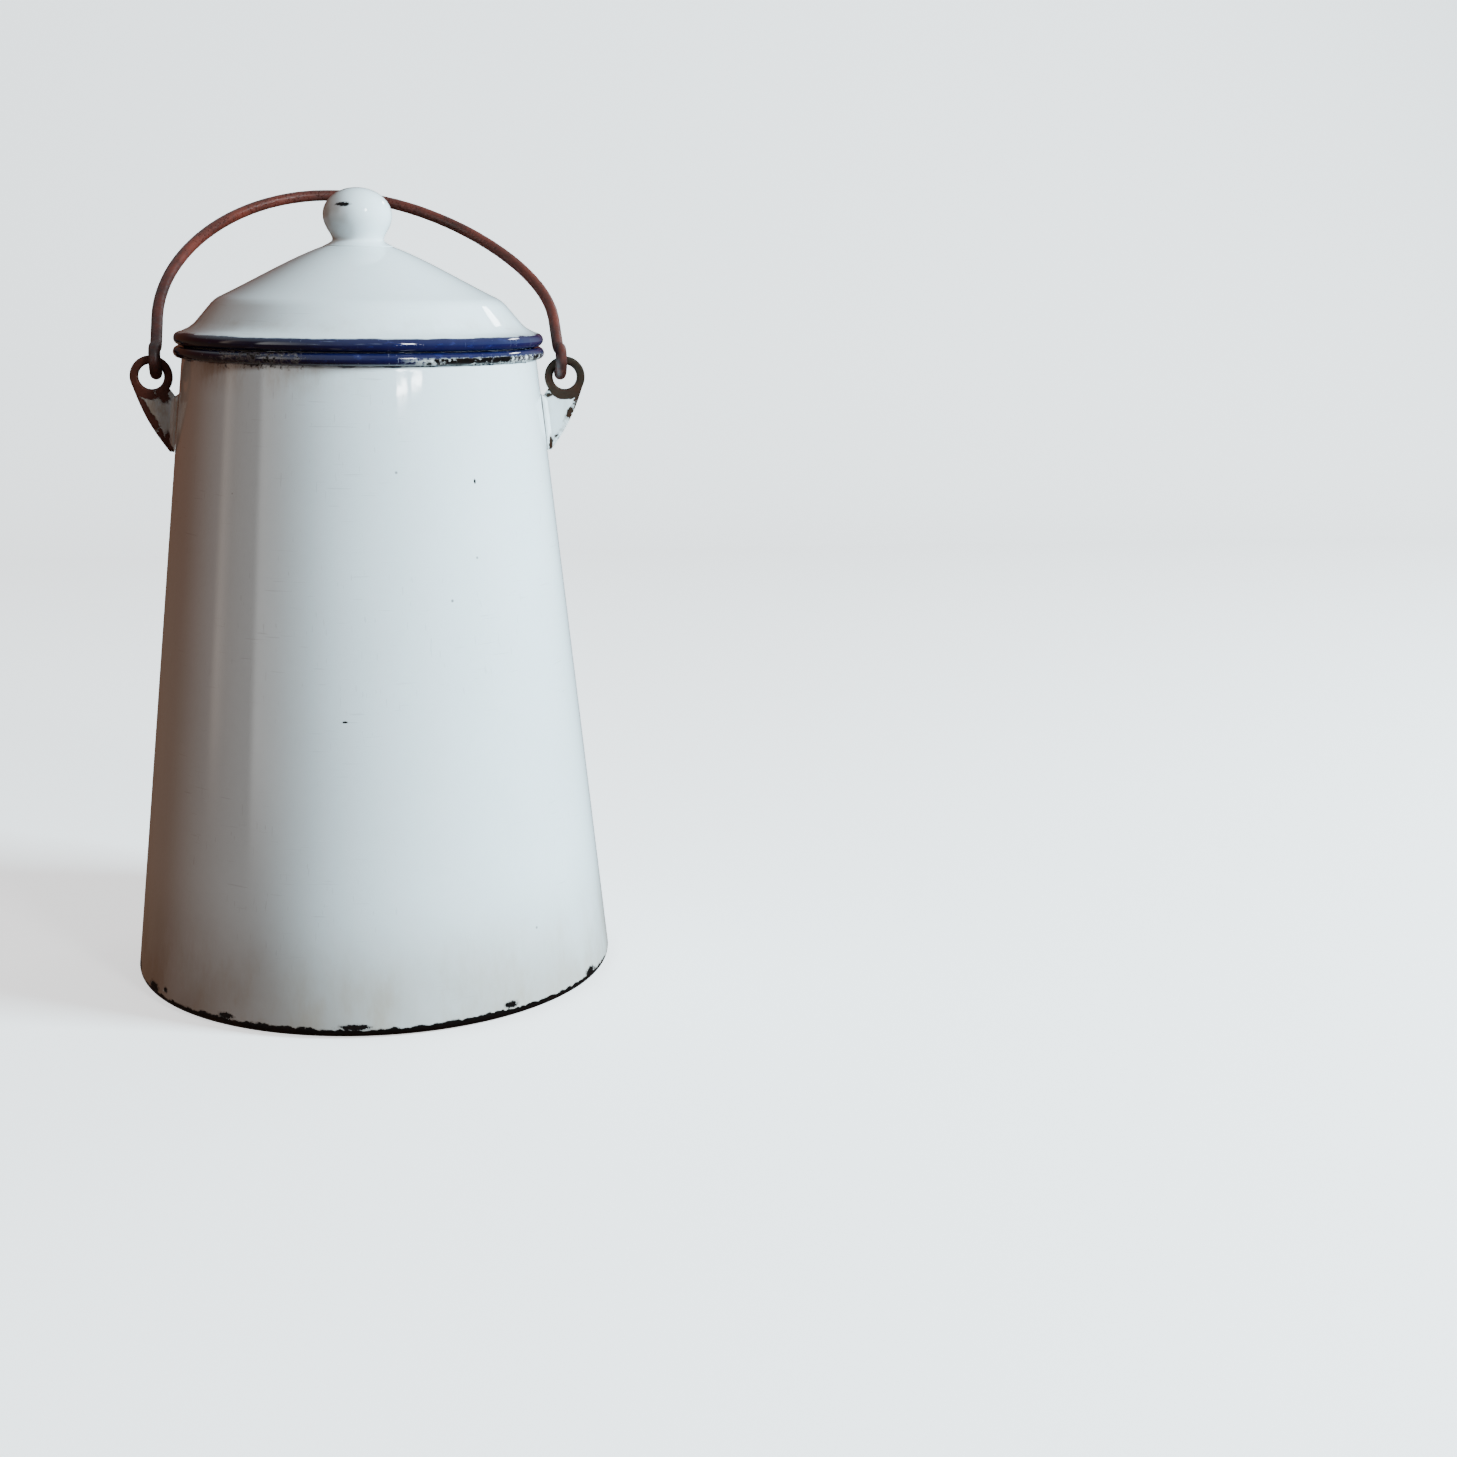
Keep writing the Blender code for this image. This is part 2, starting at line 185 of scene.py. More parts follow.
def turning_tree():
    """Geometry nodes that turn a row of points in the XZ plane about the pail's axis."""
    tree, source, sink = new_tree("turned_about_axis", "GeometryNodeTree", [
        ("Profile", "Geometry"),
        ("Steps", "Int", 192),
        ("Material", "Material"),
    ], [("Piece", "Geometry")])
    profile = source.outputs["Profile"]
    steps = source.outputs["Steps"]
    size = add_node(tree, "GeometryNodeAttributeDomainSize", {"Geometry": profile})
    count = size.outputs["Point Count"]
    rings = plus(tree, steps, 1.0)
    grid = add_node(tree, "GeometryNodeMeshGrid", {"Vertices X": rings, "Vertices Y": count})
    index = add_node(tree, "GeometryNodeInputIndex").outputs[0]
    ring = maths(tree, "FLOOR", maths(tree, "DIVIDE", index, count))
    angle = times(tree, maths(tree, "DIVIDE", ring, steps), math.tau)
    position = add_node(tree, "GeometryNodeInputPosition").outputs[0]
    sampled = {"Geometry": profile, "Value": position, "Index": maths(tree, "MODULO", index, count)}
    sample = add_node(tree, "GeometryNodeSampleIndex", sampled, data_type="FLOAT_VECTOR").outputs["Value"]
    turned = add_node(tree, "ShaderNodeVectorRotate", {"Vector": sample, "Angle": angle},
                      rotation_type="Z_AXIS")
    moved = add_node(tree, "GeometryNodeSetPosition",
                     {"Geometry": grid.outputs["Mesh"], "Position": turned.outputs[0]})
    merged = add_node(tree, "GeometryNodeMergeByDistance", {"Geometry": moved.outputs[0], "Distance": 1e-6})
    outwards = add_node(tree, "GeometryNodeFlipFaces", {"Mesh": merged.outputs[0]})
    finish_geometry(tree, outwards.outputs[0], source, sink)
    return tree


def run_geometry(name, points, edges, tree, values):
    """Run a geometry tree on a row of points and keep the result as a plain mesh object."""
    start = bpy.data.meshes.new(name + "_start")
    start.from_pydata(points, edges, [])
    carrier = link_object(name + "_start", start)
    modifier = carrier.modifiers.new("make", "NODES")
    modifier.node_group = tree
    for item in tree.interface.items_tree:
        if item.item_type == "SOCKET" and item.in_out == "INPUT" and item.name in values:
            modifier[item.identifier] = values[item.name]
    mesh = finished_mesh(carrier)
    mesh.name = name
    bpy.data.meshes.remove(start)
    return link_object(name, mesh)


turning = turning_tree()


def turned_piece(name, profile, steps, material):
    """Turn a section about the axis. It runs clockwise, so that its faces point outwards."""
    points = [(r, 0.0, z) for r, z in profile]
    return run_geometry(name, points, [], turning, {"Steps": steps, "Material": material})


def round_point(radius, degrees, z):
    """A place at an angle round the axis."""
    angle = math.radians(degrees)
    return (radius * math.cos(angle), radius * math.sin(angle), z)


def object_place(tree):
    return add_node(tree, "ShaderNodeTexCoord").outputs["Object"]


def put_out(tree, sink, results):
    """Link each result to the group's output of that name."""
    for label, socket in results.items():
        tree.links.new(socket, sink.inputs[label])


def group_node(tree, group, inputs=None):
    """A shader group placed in a tree, with its inputs set or linked by name."""
    return add_node(tree, "ShaderNodeGroup", inputs, node_tree=group)


def axis_group():
    """Shader group: where a point is round the pail, as radius, angle in degrees and height."""
    tree, _, sink = new_tree("place_round_axis", "ShaderNodeTree", [], [
        ("Place", "Vector"), ("Radius", "Float"), ("Angle", "Float"), ("Height", "Float")])
    place = object_place(tree)
    x, y, z = add_node(tree, "ShaderNodeSeparateXYZ", {0: place}).outputs
    radius = maths(tree, "SQRT", plus(tree, times(tree, x, x), times(tree, y, y)))
    angle = times(tree, maths(tree, "ARCTAN2", y, x), math.degrees(1.0))
    put_out(tree, sink, {"Place": place, "Radius": radius, "Angle": angle, "Height": z})
    return tree


def noise(tree, place, scale, detail=2.0, roughness=0.5, stretch=None, seed=0.0):
    """Noise from 0 to 1 at a place, stretched along the axes if asked."""
    if stretch or seed:
        inputs = {"Vector": place, "Scale": stretch or (1.0, 1.0, 1.0), "Location": (seed, seed, seed)}
        place = add_node(tree, "ShaderNodeMapping", inputs).outputs[0]
    inputs = {"Vector": place, "Scale": scale, "Detail": detail, "Roughness": roughness}
    return add_node(tree, "ShaderNodeTexNoise", inputs).outputs[0]


def ramp(tree, value, low, high, to_low=0.0, to_high=1.0):
    """Value between low and high, spread smoothly from to_low to to_high."""
    inputs = {"Value": value, "From Min": low, "From Max": high, "To Min": to_low, "To Max": to_high}
    return add_node(tree, "ShaderNodeMapRange", inputs, interpolation_type="SMOOTHSTEP").outputs[0]


def blend(tree, factor, first, second):
    """Mix of two colours."""
    return add_node(tree, "ShaderNodeMix", {0: factor, 6: first, 7: second}, data_type="RGBA").outputs[2]


def enamel_group():
    """Shader group: fired enamel with clouding, pin holes, hairline scratches and orange peel."""
    tree, source, sink = new_tree("fired_enamel", "ShaderNodeTree", [
        ("Glaze", "Color", (0.80, 0.84, 0.84, 1.0)),
        ("Grime", "Color", (0.40, 0.32, 0.24, 1.0)),
        ("Grime Amount", "Float", 0.0),
        ("Scratches", "Float", 0.5),
        ("Pin Holes", "Float", 0.5),
    ], [("Color", "Color"), ("Roughness", "Float"), ("Height", "Float")])
    place = object_place(tree)
    clouds = times(tree, noise(tree, place, 14.0, 4.0, 0.6), 0.16)
    mottle = times(tree, noise(tree, place, 330.0, 3.0, 0.6), 0.05)
    lightness = plus(tree, plus(tree, clouds, mottle), 0.895)
    shaded = add_node(tree, "ShaderNodeHueSaturation",
                      {"Value": lightness, "Color": source.outputs["Glaze"]}).outputs[0]
    # The grime amount is real grime on most pieces, but on the wall it also paints shade towards the foot
    # in the grime colour.
    smears = ramp(tree, noise(tree, place, 60.0, 5.0, 0.7, (1.0, 1.0, 0.35), 4.0), 0.40, 0.72)
    grime_and_shade = times(tree, smears, source.outputs["Grime Amount"], clamp=True)
    coloured = blend(tree, grime_and_shade, shaded, source.outputs["Grime"])

    cells = add_node(tree, "ShaderNodeTexVoronoi", {"Vector": place, "Scale": 110.0}).outputs
    cell_value = add_node(tree, "ShaderNodeSeparateColor", {0: cells["Color"]}).outputs[0]
    few = ramp(tree, cell_value, 0.90, 0.93)
    dots = times(tree, ramp(tree, cells["Distance"], 0.075, 0.03), few)
    holes = times(tree, dots, source.outputs["Pin Holes"], clamp=True)

    level = ramp(tree, noise(tree, place, 1.0, 1.0, 0.5, (70.0, 70.0, 1500.0), 2.0), 0.70, 0.745)
    upright = ramp(tree, noise(tree, place, 1.0, 1.0, 0.5, (1300.0, 1300.0, 55.0), 7.0), 0.715, 0.75)
    patches = ramp(tree, noise(tree, place, 22.0, 2.0, 0.5, None, 11.0), 0.45, 0.62)
    hairs = times(tree, maths(tree, "MAXIMUM", level, upright), patches)
    scratches = times(tree, hairs, source.outputs["Scratches"], clamp=True)

    dulled = blend(tree, times(tree, scratches, 0.35), coloured, (0.34, 0.35, 0.36, 1.0))
    colour = blend(tree, holes, dulled, (0.030, 0.022, 0.018, 1.0))
    rough = ramp(tree, noise(tree, place, 45.0, 4.0, 0.6, None, 19.0), 0.3, 0.8, 0.025, 0.075)
    for mask, roughening in ((scratches, 0.25), (grime_and_shade, 0.25), (holes, 0.4)):
        rough = plus(tree, rough, times(tree, mask, roughening))
    peel = times(tree, noise(tree, place, 420.0, 1.0, 0.4), 0.10)
    waves = noise(tree, place, 42.0, 1.0, 0.4, (1.0, 1.0, 0.25), 3.0)
    height = maths(tree, "SUBTRACT", plus(tree, peel, waves), times(tree, holes, 0.8))
    put_out(tree, sink, {"Color": colour, "Roughness": rough, "Height": height})
    return tree


def chip_group():
    """Shader group: one chip at a place, with ragged edges, as bare iron and a thinned lip."""
    tree, source, sink = new_tree("enamel_chip", "ShaderNodeTree", [
        ("Centre", "Vector"),
        ("Half Size", "Vector"),
    ], [("Bare", "Float"), ("Lip", "Float")])
    place = object_place(tree)
    offset = vector_maths(tree, "SUBTRACT", place, source.outputs["Centre"])
    reach = vector_maths(tree, "LENGTH", vector_maths(tree, "DIVIDE", offset, source.outputs["Half Size"]))
    edge = plus(tree, reach, times(tree, noise(tree, place, 900.0, 4.0, 0.7), 1.5))
    put_out(tree, sink, {"Bare": ramp(tree, edge, 1.62, 1.50), "Lip": ramp(tree, edge, 2.05, 1.60)})
    return tree


def wear_group():
    """Shader group: enamel knocked off along an edge. Closeness is 1 at the edge and 0 away from it."""
    tree, source, sink = new_tree("edge_wear", "ShaderNodeTree", [
        ("Closeness", "Float", 0.0),
        ("Amount", "Float", 0.5),
        ("Grain", "Float", 260.0),
    ], [("Bare", "Float"), ("Lip", "Float")])
    place = object_place(tree)
    grain = noise(tree, place, source.outputs["Grain"], 5.0, 0.62)
    broad = noise(tree, place, 38.0, 2.0, 0.5, None, 5.0)
    odds = plus(tree, times(tree, grain, 0.65), times(tree, broad, 0.35))
    total = plus(tree, odds, times(tree, source.outputs["Closeness"], source.outputs["Amount"]))
    put_out(tree, sink, {"Bare": ramp(tree, total, 0.985, 1.015), "Lip": ramp(tree, total, 0.90, 0.99)})
    return tree


def iron_group():
    """Shader group: old bare iron, from near black scale to brown and red rust."""
    tree, source, sink = new_tree("rusted_iron", "ShaderNodeTree", [
        ("Scale Black", "Color", (0.009, 0.007, 0.007, 1.0)),
        ("Brown", "Color", (0.032, 0.014, 0.009, 1.0)),
        ("Red", "Color", (0.110, 0.031, 0.018, 1.0)),
        ("Rust", "Float", 0.5),
    ], [("Color", "Color"), ("Roughness", "Float"), ("Height", "Float")])
    black, brown, red, rust = list(source.outputs)[:4]
    place = object_place(tree)
    broad = noise(tree, place, 95.0, 4.0, 0.65)
    fine = noise(tree, place, 900.0, 4.0, 0.7)
    mixed = plus(tree, times(tree, broad, 0.6), times(tree, fine, 0.4))
    amount = plus(tree, mixed, maths(tree, "SUBTRACT", rust, 0.5))
    dark = blend(tree, ramp(tree, amount, 0.30, 0.48), black, brown)
    colour = blend(tree, ramp(tree, amount, 0.46, 0.72), dark, red)
    rough = ramp(tree, fine, 0.25, 0.75, 0.42, 0.78)
    put_out(tree, sink, {"Color": colour, "Roughness": rough, "Height": fine})
    return tree


round_axis = axis_group()
fired_enamel = enamel_group()
enamel_chip = chip_group()
edge_wear = wear_group()
rusted_iron = iron_group()


def most_worn(tree, worn):
    """The strongest of several pairs of masks, each of bare iron and of the lip round it."""
    bare, lip = worn[0]
    for more_bare, more_lip in worn[1:]:
        bare = maths(tree, "MAXIMUM", bare, more_bare)
        lip = maths(tree, "MAXIMUM", lip, more_lip)
    return bare, lip


def chips_at(tree, chips):
    """Bare and lip masks for a list of chips, each a centre and a half size."""
    worn = []
    for centre, half_size in chips:
        chip = group_node(tree, enamel_chip, {"Centre": centre, "Half Size": half_size}).outputs
        worn.append((chip["Bare"], chip["Lip"]))
    return most_worn(tree, worn)


def wear_along(tree, closeness, amount, grain):
    """Bare and lip masks for the enamel knocked off where closeness nears 1."""
    wear = group_node(tree, edge_wear, {"Closeness": closeness, "Amount": amount, "Grain": grain}).outputs
    return wear["Bare"], wear["Lip"]


def new_material(name):
    material = bpy.data.materials.new(name)
    material.use_nodes = True
    return material, material.node_tree, material.node_tree.nodes["Principled BSDF"]


def link_surface(tree, shader, colour, rough, height, relief, strength=1.0):
    """Link a colour, a roughness and a bump with its relief in metres to the shader."""
    bump = add_node(tree, "ShaderNodeBump", {"Height": height, "Distance": relief, "Strength": strength})
    tree.links.new(colour, shader.inputs["Base Color"])
    tree.links.new(rough, shader.inputs["Roughness"])
    tree.links.new(bump.outputs[0], shader.inputs["Normal"])


ENAMEL_RELIEF = 0.00004
CHIP_DEPTH = 8.0            # in units of the relief, as is the rust's roughness
RUST_RELIEF = -2.0


def chipped_finish(tree, shader, glaze, grime, worn, scratches=0.5, pin_holes=0.5, rust=0.3, iron=None):
    """Enamel over iron: link the glaze, its worn places and the iron beneath to the shader."""
    bare, lip = worn
    skin = group_node(tree, fired_enamel, {"Glaze": glaze, "Grime Amount": grime,
                                           "Scratches": scratches, "Pin Holes": pin_holes}).outputs
    metal = group_node(tree, rusted_iron, {"Rust": rust, **(iron or {})}).outputs
    thinned = blend(tree, times(tree, lip, 0.55), skin["Color"], (0.20, 0.17, 0.15, 1.0))
    colour = blend(tree, bare, thinned, metal["Color"])
    rough = add_node(tree, "ShaderNodeMix", {0: bare, 2: skin["Roughness"], 3: metal["Roughness"]})
    sunk = times(tree, bare, plus(tree, times(tree, metal["Height"], RUST_RELIEF), CHIP_DEPTH))
    height = maths(tree, "SUBTRACT", skin["Height"], sunk)
    link_surface(tree, shader, colour, rough.outputs[0], height, ENAMEL_RELIEF)
    tree.links.new(times(tree, bare, 0.75), shader.inputs["Metallic"])
    shader.inputs["IOR"].default_value = 1.60


def wandering(tree, height, place, scale, reach):
    """A height that wanders by up to half of reach each way, as a line painted by hand does."""
    wobble = maths(tree, "SUBTRACT", noise(tree, place, scale, 3.0), 0.5)
    return plus(tree, height, times(tree, wobble, reach))


def navy_paint(tree, place, scale, stretch):
    """Navy with paler streaks where it has worn thin."""
    streaks = ramp(tree, noise(tree, place, scale, 4.0, 0.6, stretch), 0.55, 0.80)
    return blend(tree, streaks, NAVY, NAVY_WORN)


WHITE_GLAZE = (0.730, 0.795, 0.815, 1.0)
NAVY = (0.003, 0.004, 0.034, 1.0)
NAVY_WORN = (0.010, 0.014, 0.076, 1.0)
RIM_CHIPS_FROM = -76.0      # degrees round the axis where the rim has lost its navy
RIM_CHIPS_TO = -14.0
NAVY_LINE = 0.2256          # height on the bead where the navy ends
NAVY_BLUR = 0.0003
# degrees round the axis, height, half width and half height of each single chip
WALL_CHIPS = (
    (-174.0, 0.0052, 0.0078, 0.0027),
    (-156.5, 0.0046, 0.0046, 0.0019),
    (-150.0, 0.0060, 0.0014, 0.0012),
    (-128.0, 0.0046, 0.0036, 0.0011),
    (-97.0, 0.0042, 0.0060, 0.0012),
    (-60.0, 0.0050, 0.0030, 0.0014),
    (-30.0, 0.0044, 0.0042, 0.0016),
    (40.0, 0.0050, 0.0046, 0.0020),
    (112.0, 0.0046, 0.0032, 0.0014),
    (-98.0, 0.1085, 0.0009, 0.0004),
    (-58.0, 0.1870, 0.0005, 0.0009),
    (70.0, 0.1500, 0.0014, 0.0010),
    (128.0, 0.0640, 0.0010, 0.0016),
)


def wall_material():
    """White, with navy on the bead, stains under it and wear along the foot and the rim. Towards the foot
    it is browner and darker: painted reflection and painted shade, with some grime.
    """
    material, tree, shader = new_material("wall_enamel_worn")
    where = group_node(tree, round_axis).outputs
    height = where["Height"]
    angle = where["Angle"]
    place = where["Place"]
    mouth = cone_radius(RIM_HEIGHT)
    outside = ramp(tree, where["Radius"], mouth - 0.0012, mouth - 0.0006)
    rim_line = wandering(tree, height, place, 120.0, 0.0022)
    navy_part = times(tree, ramp(tree, rim_line, NAVY_LINE - NAVY_BLUR, NAVY_LINE + NAVY_BLUR), outside)
    navy = navy_paint(tree, place, 210.0, (1.0, 1.0, 2.0))

    chipped_from = ramp(tree, angle, RIM_CHIPS_FROM - 6.0, RIM_CHIPS_FROM + 8.0)
    chipped_to = ramp(tree, angle, RIM_CHIPS_TO + 6.0, RIM_CHIPS_TO - 4.0)
    chipped_arc = times(tree, chipped_from, chipped_to)
    lower_bead = ramp(tree, height, 0.2288, 0.2274)
    flakes = ramp(tree, noise(tree, place, 520.0, 4.0, 0.65, (1.0, 1.0, 1.6), 8.0), 0.54, 0.45)
    ground_coat = times(tree, times(tree, times(tree, chipped_arc, lower_bead), flakes), navy_part)
    navy = blend(tree, ground_coat, navy, (0.60, 0.62, 0.60, 1.0))
    # Painted reflection and painted shade: the lowest part of the wall is tinted brown in patches, standing
    # in for a brown table mirrored in the glaze and the shade near the foot.
    foot_reflection_patches = ramp(tree, noise(tree, place, 26.0, 3.0, 0.5, None, 31.0), 0.25, 0.65, 0.38, 0.66)
    painted_foot_reflection = times(tree, ramp(tree, height, 0.054, 0.001), foot_reflection_patches)
    white = blend(tree, painted_foot_reflection, WHITE_GLAZE, (0.32, 0.255, 0.205, 1.0))
    glaze = blend(tree, navy_part, white, navy)

    under_bead = times(tree, ramp(tree, height, 0.2125, 0.2250), ramp(tree, height, 0.2262, 0.2250))
    stained = times(tree, ramp(tree, angle, -168.0, -140.0), ramp(tree, angle, -84.0, -112.0))
    stain = times(tree, under_bead, plus(tree, times(tree, stained, 0.62), 0.08))
    # Painted shade, with some grime: the wall darkens towards the foot through the grime input. The grime
    # below therefore carries the stain under the bead and this painted shade.
    foot_shade_and_grime = ramp(tree, height, 0.042, 0.003, 0.0, 0.60)
    grime = plus(tree, maths(tree, "MAXIMUM", stain, foot_shade_and_grime), 0.015)

    foot = ramp(tree, height, 0.0074, 0.0002)
    bead = times(tree, ramp(tree, height, 0.2252, 0.2262), ramp(tree, height, 0.2290, 0.2280))
    bead_push = times(tree, bead, plus(tree, times(tree, chipped_arc, 0.28), 0.20))
    under_push = times(tree, ramp(tree, height, 0.2195, 0.2252), times(tree, stained, 0.42))
    chips = []
    for degrees, z, wide, tall in WALL_CHIPS:
        chips.append((round_point(cone_radius(z), degrees, z), (wide, wide, tall)))
    worn = [chips_at(tree, chips), wear_along(tree, foot, 0.90, 300.0),
            wear_along(tree, bead_push, 1.0, 420.0), wear_along(tree, under_push, 1.0, 640.0)]
    chipped_finish(tree, shader, glaze, grime, most_worn(tree, worn), scratches=0.75, pin_holes=0.7)
    return material


bead_z = RIM_HEIGHT - BEAD_RADIUS
bead_r = cone_radius(bead_z, BEAD_RADIUS - SHEET)
wall_face = arc((bead_r, bead_z), BEAD_RADIUS - SHEET, CURL_END, 180.0 + taper_degrees, 26)
wall_face += arc((cone_radius(FOOT_BEND, -FOOT_BEND), FOOT_BEND), FOOT_BEND, taper_degrees, -90.0, 16)
wall_face.append((FOOT_RING_INNER, 0.0))
wall_face = subdivide(wall_face, POINT_SPACING)
wall = turned_piece("pail_wall", sheet_profile(wall_face, SHEET), FINE_TURN, wall_material())
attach(wall, "pail")
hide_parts("body_wall")


# ------------------------------------------------------------
# Bottom. A pressed disc with a raised rim that is fixed inside the foot and enamelled over
# with the rest. Its middle is pressed up, so the pail stands on the foot ring alone.

BOTTOM_RIM_HEIGHT = 0.0150
BOTTOM_RECESS = 0.0042
RECESS_RADIUS = 0.0755
STEP_ROUNDING = 0.0012
SEAM_GAP = 0.0003


def bottom_material():
    """White, dirtier towards the foot and knocked along the step."""
    material, tree, shader = new_material("bottom_enamel_worn")
    radius = group_node(tree, round_axis).outputs["Radius"]
    worn = wear_along(tree, ramp(tree, radius, 0.064, 0.078), 0.46, 240.0)
    grime = ramp(tree, radius, 0.030, 0.080, 0.25, 0.60)
    chipped_finish(tree, shader, WHITE_GLAZE, grime, worn, scratches=1.0, pin_holes=1.0, rust=0.45)
    return material


inset = SHEET + SEAM_GAP
bottom_face = [(cone_radius(BOTTOM_RIM_HEIGHT, -inset), BOTTOM_RIM_HEIGHT)]
bend_centre = (cone_radius(FOOT_BEND, -FOOT_BEND), FOOT_BEND)
bottom_face += arc(bend_centre, FOOT_BEND - inset, taper_degrees, -90.0, 12)
ledge = Vector((RECESS_RADIUS + BOTTOM_RECESS - inset, inset))
raised = Vector((RECESS_RADIUS, BOTTOM_RECESS))
rounding = Vector((STEP_ROUNDING, 0.0))
for point in interpolate_bezier(ledge + rounding, ledge, raised, raised - rounding, 10):
    bottom_face.append((point.x, point.y))
bottom_face.append((0.0, BOTTOM_RECESS))
bottom_face = subdivide(bottom_face, 0.006)
bottom_section = sheet_profile(bottom_face[::-1], -SHEET, closed=False)[::-1]
bottom = turned_piece("pail_bottom", bottom_section, COARSE_TURN, bottom_material())
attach(bottom, "pail")
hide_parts("body_bottom")


# ------------------------------------------------------------
# Ears. Each is one strip of sheet folded double: the fold stands out as a fin with the
# eyelet at its top, and the two ends lie on the wall as feet. The bail has rubbed the
# enamel off round the eyelets.

EAR_REACH = 0.0112
EAR_DROP = 0.0110
EAR_LENGTH = 0.0265
EAR_BULGE = 0.0012
EYELET_RADIUS = 0.0044
LOBE_RADIUS = 0.0074
LOBE_END = 215.0
EDGE_STEPS = 14
FIN_THICKNESS = 0.0022
FIN_ROUNDING = 0.0008
FOOT_HALF_WIDTH = 0.0070
FOOT_TIP_HALF_WIDTH = 0.0020
FOOT_EDGE = SHEET * 0.8     # width over which the feet's edges are rounded
FILLET = 0.0012             # sheet bends out of the feet into the fin
FILLET_WIDTH = FILLET * 1.6

eyelet_x = MOUTH_RADIUS + EAR_REACH
eyelet_z = RIM_HEIGHT - EAR_DROP
ear_tip_z = eyelet_z - EAR_LENGTH
OLIVE_IRON = {"Scale Black": (0.010, 0.008, 0.006, 1.0), "Brown": (0.034, 0.026, 0.017, 1.0),
              "Red": (0.064, 0.026, 0.015, 1.0)}
RUST_IRON = {"Scale Black": (0.014, 0.007, 0.005, 1.0), "Brown": (0.055, 0.018, 0.011, 1.0),
             "Red": (0.115, 0.032, 0.020, 1.0)}


def fin_outline():
    """Outline of the fin: the eyelet's lobe, the bowed outer edge and the tip on the wall."""
    buried = SEAM_GAP + SHEET / 2
    tip = Vector((cone_radius(ear_tip_z, buried + SHEET), ear_tip_z))
    away = tip - Vector((eyelet_x, eyelet_z))
    tangent = math.degrees(math.atan2(away.y, away.x) + math.acos(LOBE_RADIUS / away.length))
    lobe = arc((eyelet_x, eyelet_z), LOBE_RADIUS, tangent, LOBE_END, 48)
    edge = Vector(lobe[0]) - tip
    outwards = Vector((edge.y, -edge.x)).normalized() * EAR_BULGE
    outline = [(cone_radius(ear_tip_z, buried), ear_tip_z)]
    for i in range(EDGE_STEPS):
        bowed = tip + edge * (i / EDGE_STEPS) + outwards * math.sin(math.pi * i / EDGE_STEPS)
        outline.append(tuple(bowed))
    outline += lobe
    shelf_z = eyelet_z - LOBE_RADIUS
    outline.append((cone_radius(shelf_z, buried), shelf_z))
    return outline


def fin_mesh():
    """The fin as a plate with rounded edges, standing in the XZ plane."""
    curve = bpy.data.curves.new("fin", "CURVE")
    curve.dimensions = "2D"
    curve.fill_mode = "BOTH"
    curve.extrude = FIN_THICKNESS / 2 - FIN_ROUNDING
    curve.bevel_depth = FIN_ROUNDING
    curve.bevel_resolution = 4
    curve.offset = -FIN_ROUNDING
    hole = arc((eyelet_x, eyelet_z), EYELET_RADIUS, 0.0, -352.5, 47)
    for outline in (fin_outline(), hole):
        spline = curve.splines.new("POLY")
        spline.points.add(len(outline) - 1)
        for point, (x, y) in zip(spline.points, outline):
            point.co = (x, y, 0.0, 1.0)
        spline.use_cyclic_u = True
    mesh = finished_mesh(link_object("fin", curve))
    mesh.transform(Matrix.Rotation(math.radians(90.0), 4, "X"))
    return mesh


def quarter_round(way):
    """Height on a quarter circle, from 0 at its foot to 1 at the end of the way."""
    return math.sqrt(max(0.0, 1.0 - (1.0 - way) ** 2))


def foot_mesh():
    """Both feet as one shield that follows the cone and swells up to meet the fin."""
    top_z = eyelet_z - LOBE_RADIUS + SHEET
    rows = 30
    columns = 28
    work = bmesh.new()
    sheets = []
    for outside in (True, False):
        sheet = []
        for i in range(rows + 1):
            down = i / rows
            z = top_z + (ear_tip_z - top_z) * down
            half = FOOT_HALF_WIDTH + (FOOT_TIP_HALF_WIDTH - FOOT_HALF_WIDTH) * down
            half *= 0.80 + 0.20 * quarter_round(min(down * 7.0, 1.0))
            row = []
            for j in range(columns + 1):
                y = half * (2 * j / columns - 1)
                from_edge = min(half - abs(y), z - ear_tip_z, top_z - z)
                rim = min(from_edge / FOOT_EDGE, 1.0)
                rounded = SHEET * (0.35 + 0.65 * quarter_round(rim))
                climb = max(0.0, 1.0 - max(0.0, abs(y) - FIN_THICKNESS / 2) / FILLET_WIDTH)
                raised = SEAM_GAP + rounded + FILLET * climb ** 2 * rim * min(down * 9.0, 1.0)
                radius = cone_radius(z, raised if outside else SEAM_GAP)
                angle = math.degrees(y / cone_radius(z))
                row.append(work.verts.new(round_point(radius, angle, z)))
            sheet.append(row)
        sheets.append(sheet)
    outer, inner = sheets
    for i in range(rows):
        for j in range(columns):
            work.faces.new((outer[i][j], outer[i + 1][j], outer[i + 1][j + 1], outer[i][j + 1]))
            work.faces.new((inner[i][j], inner[i][j + 1], inner[i + 1][j + 1], inner[i + 1][j]))
    for i in range(rows):
        work.faces.new((outer[i][0], inner[i][0], inner[i + 1][0], outer[i + 1][0]))
        work.faces.new((outer[i][-1], outer[i + 1][-1], inner[i + 1][-1], inner[i][-1]))
    for j in range(columns):
        work.faces.new((outer[0][j], outer[0][j + 1], inner[0][j + 1], inner[0][j]))
        work.faces.new((outer[-1][j], inner[-1][j], inner[-1][j + 1], outer[-1][j + 1]))
    mesh = bpy.data.meshes.new("feet")
    work.to_mesh(mesh)
    work.free()
    return mesh


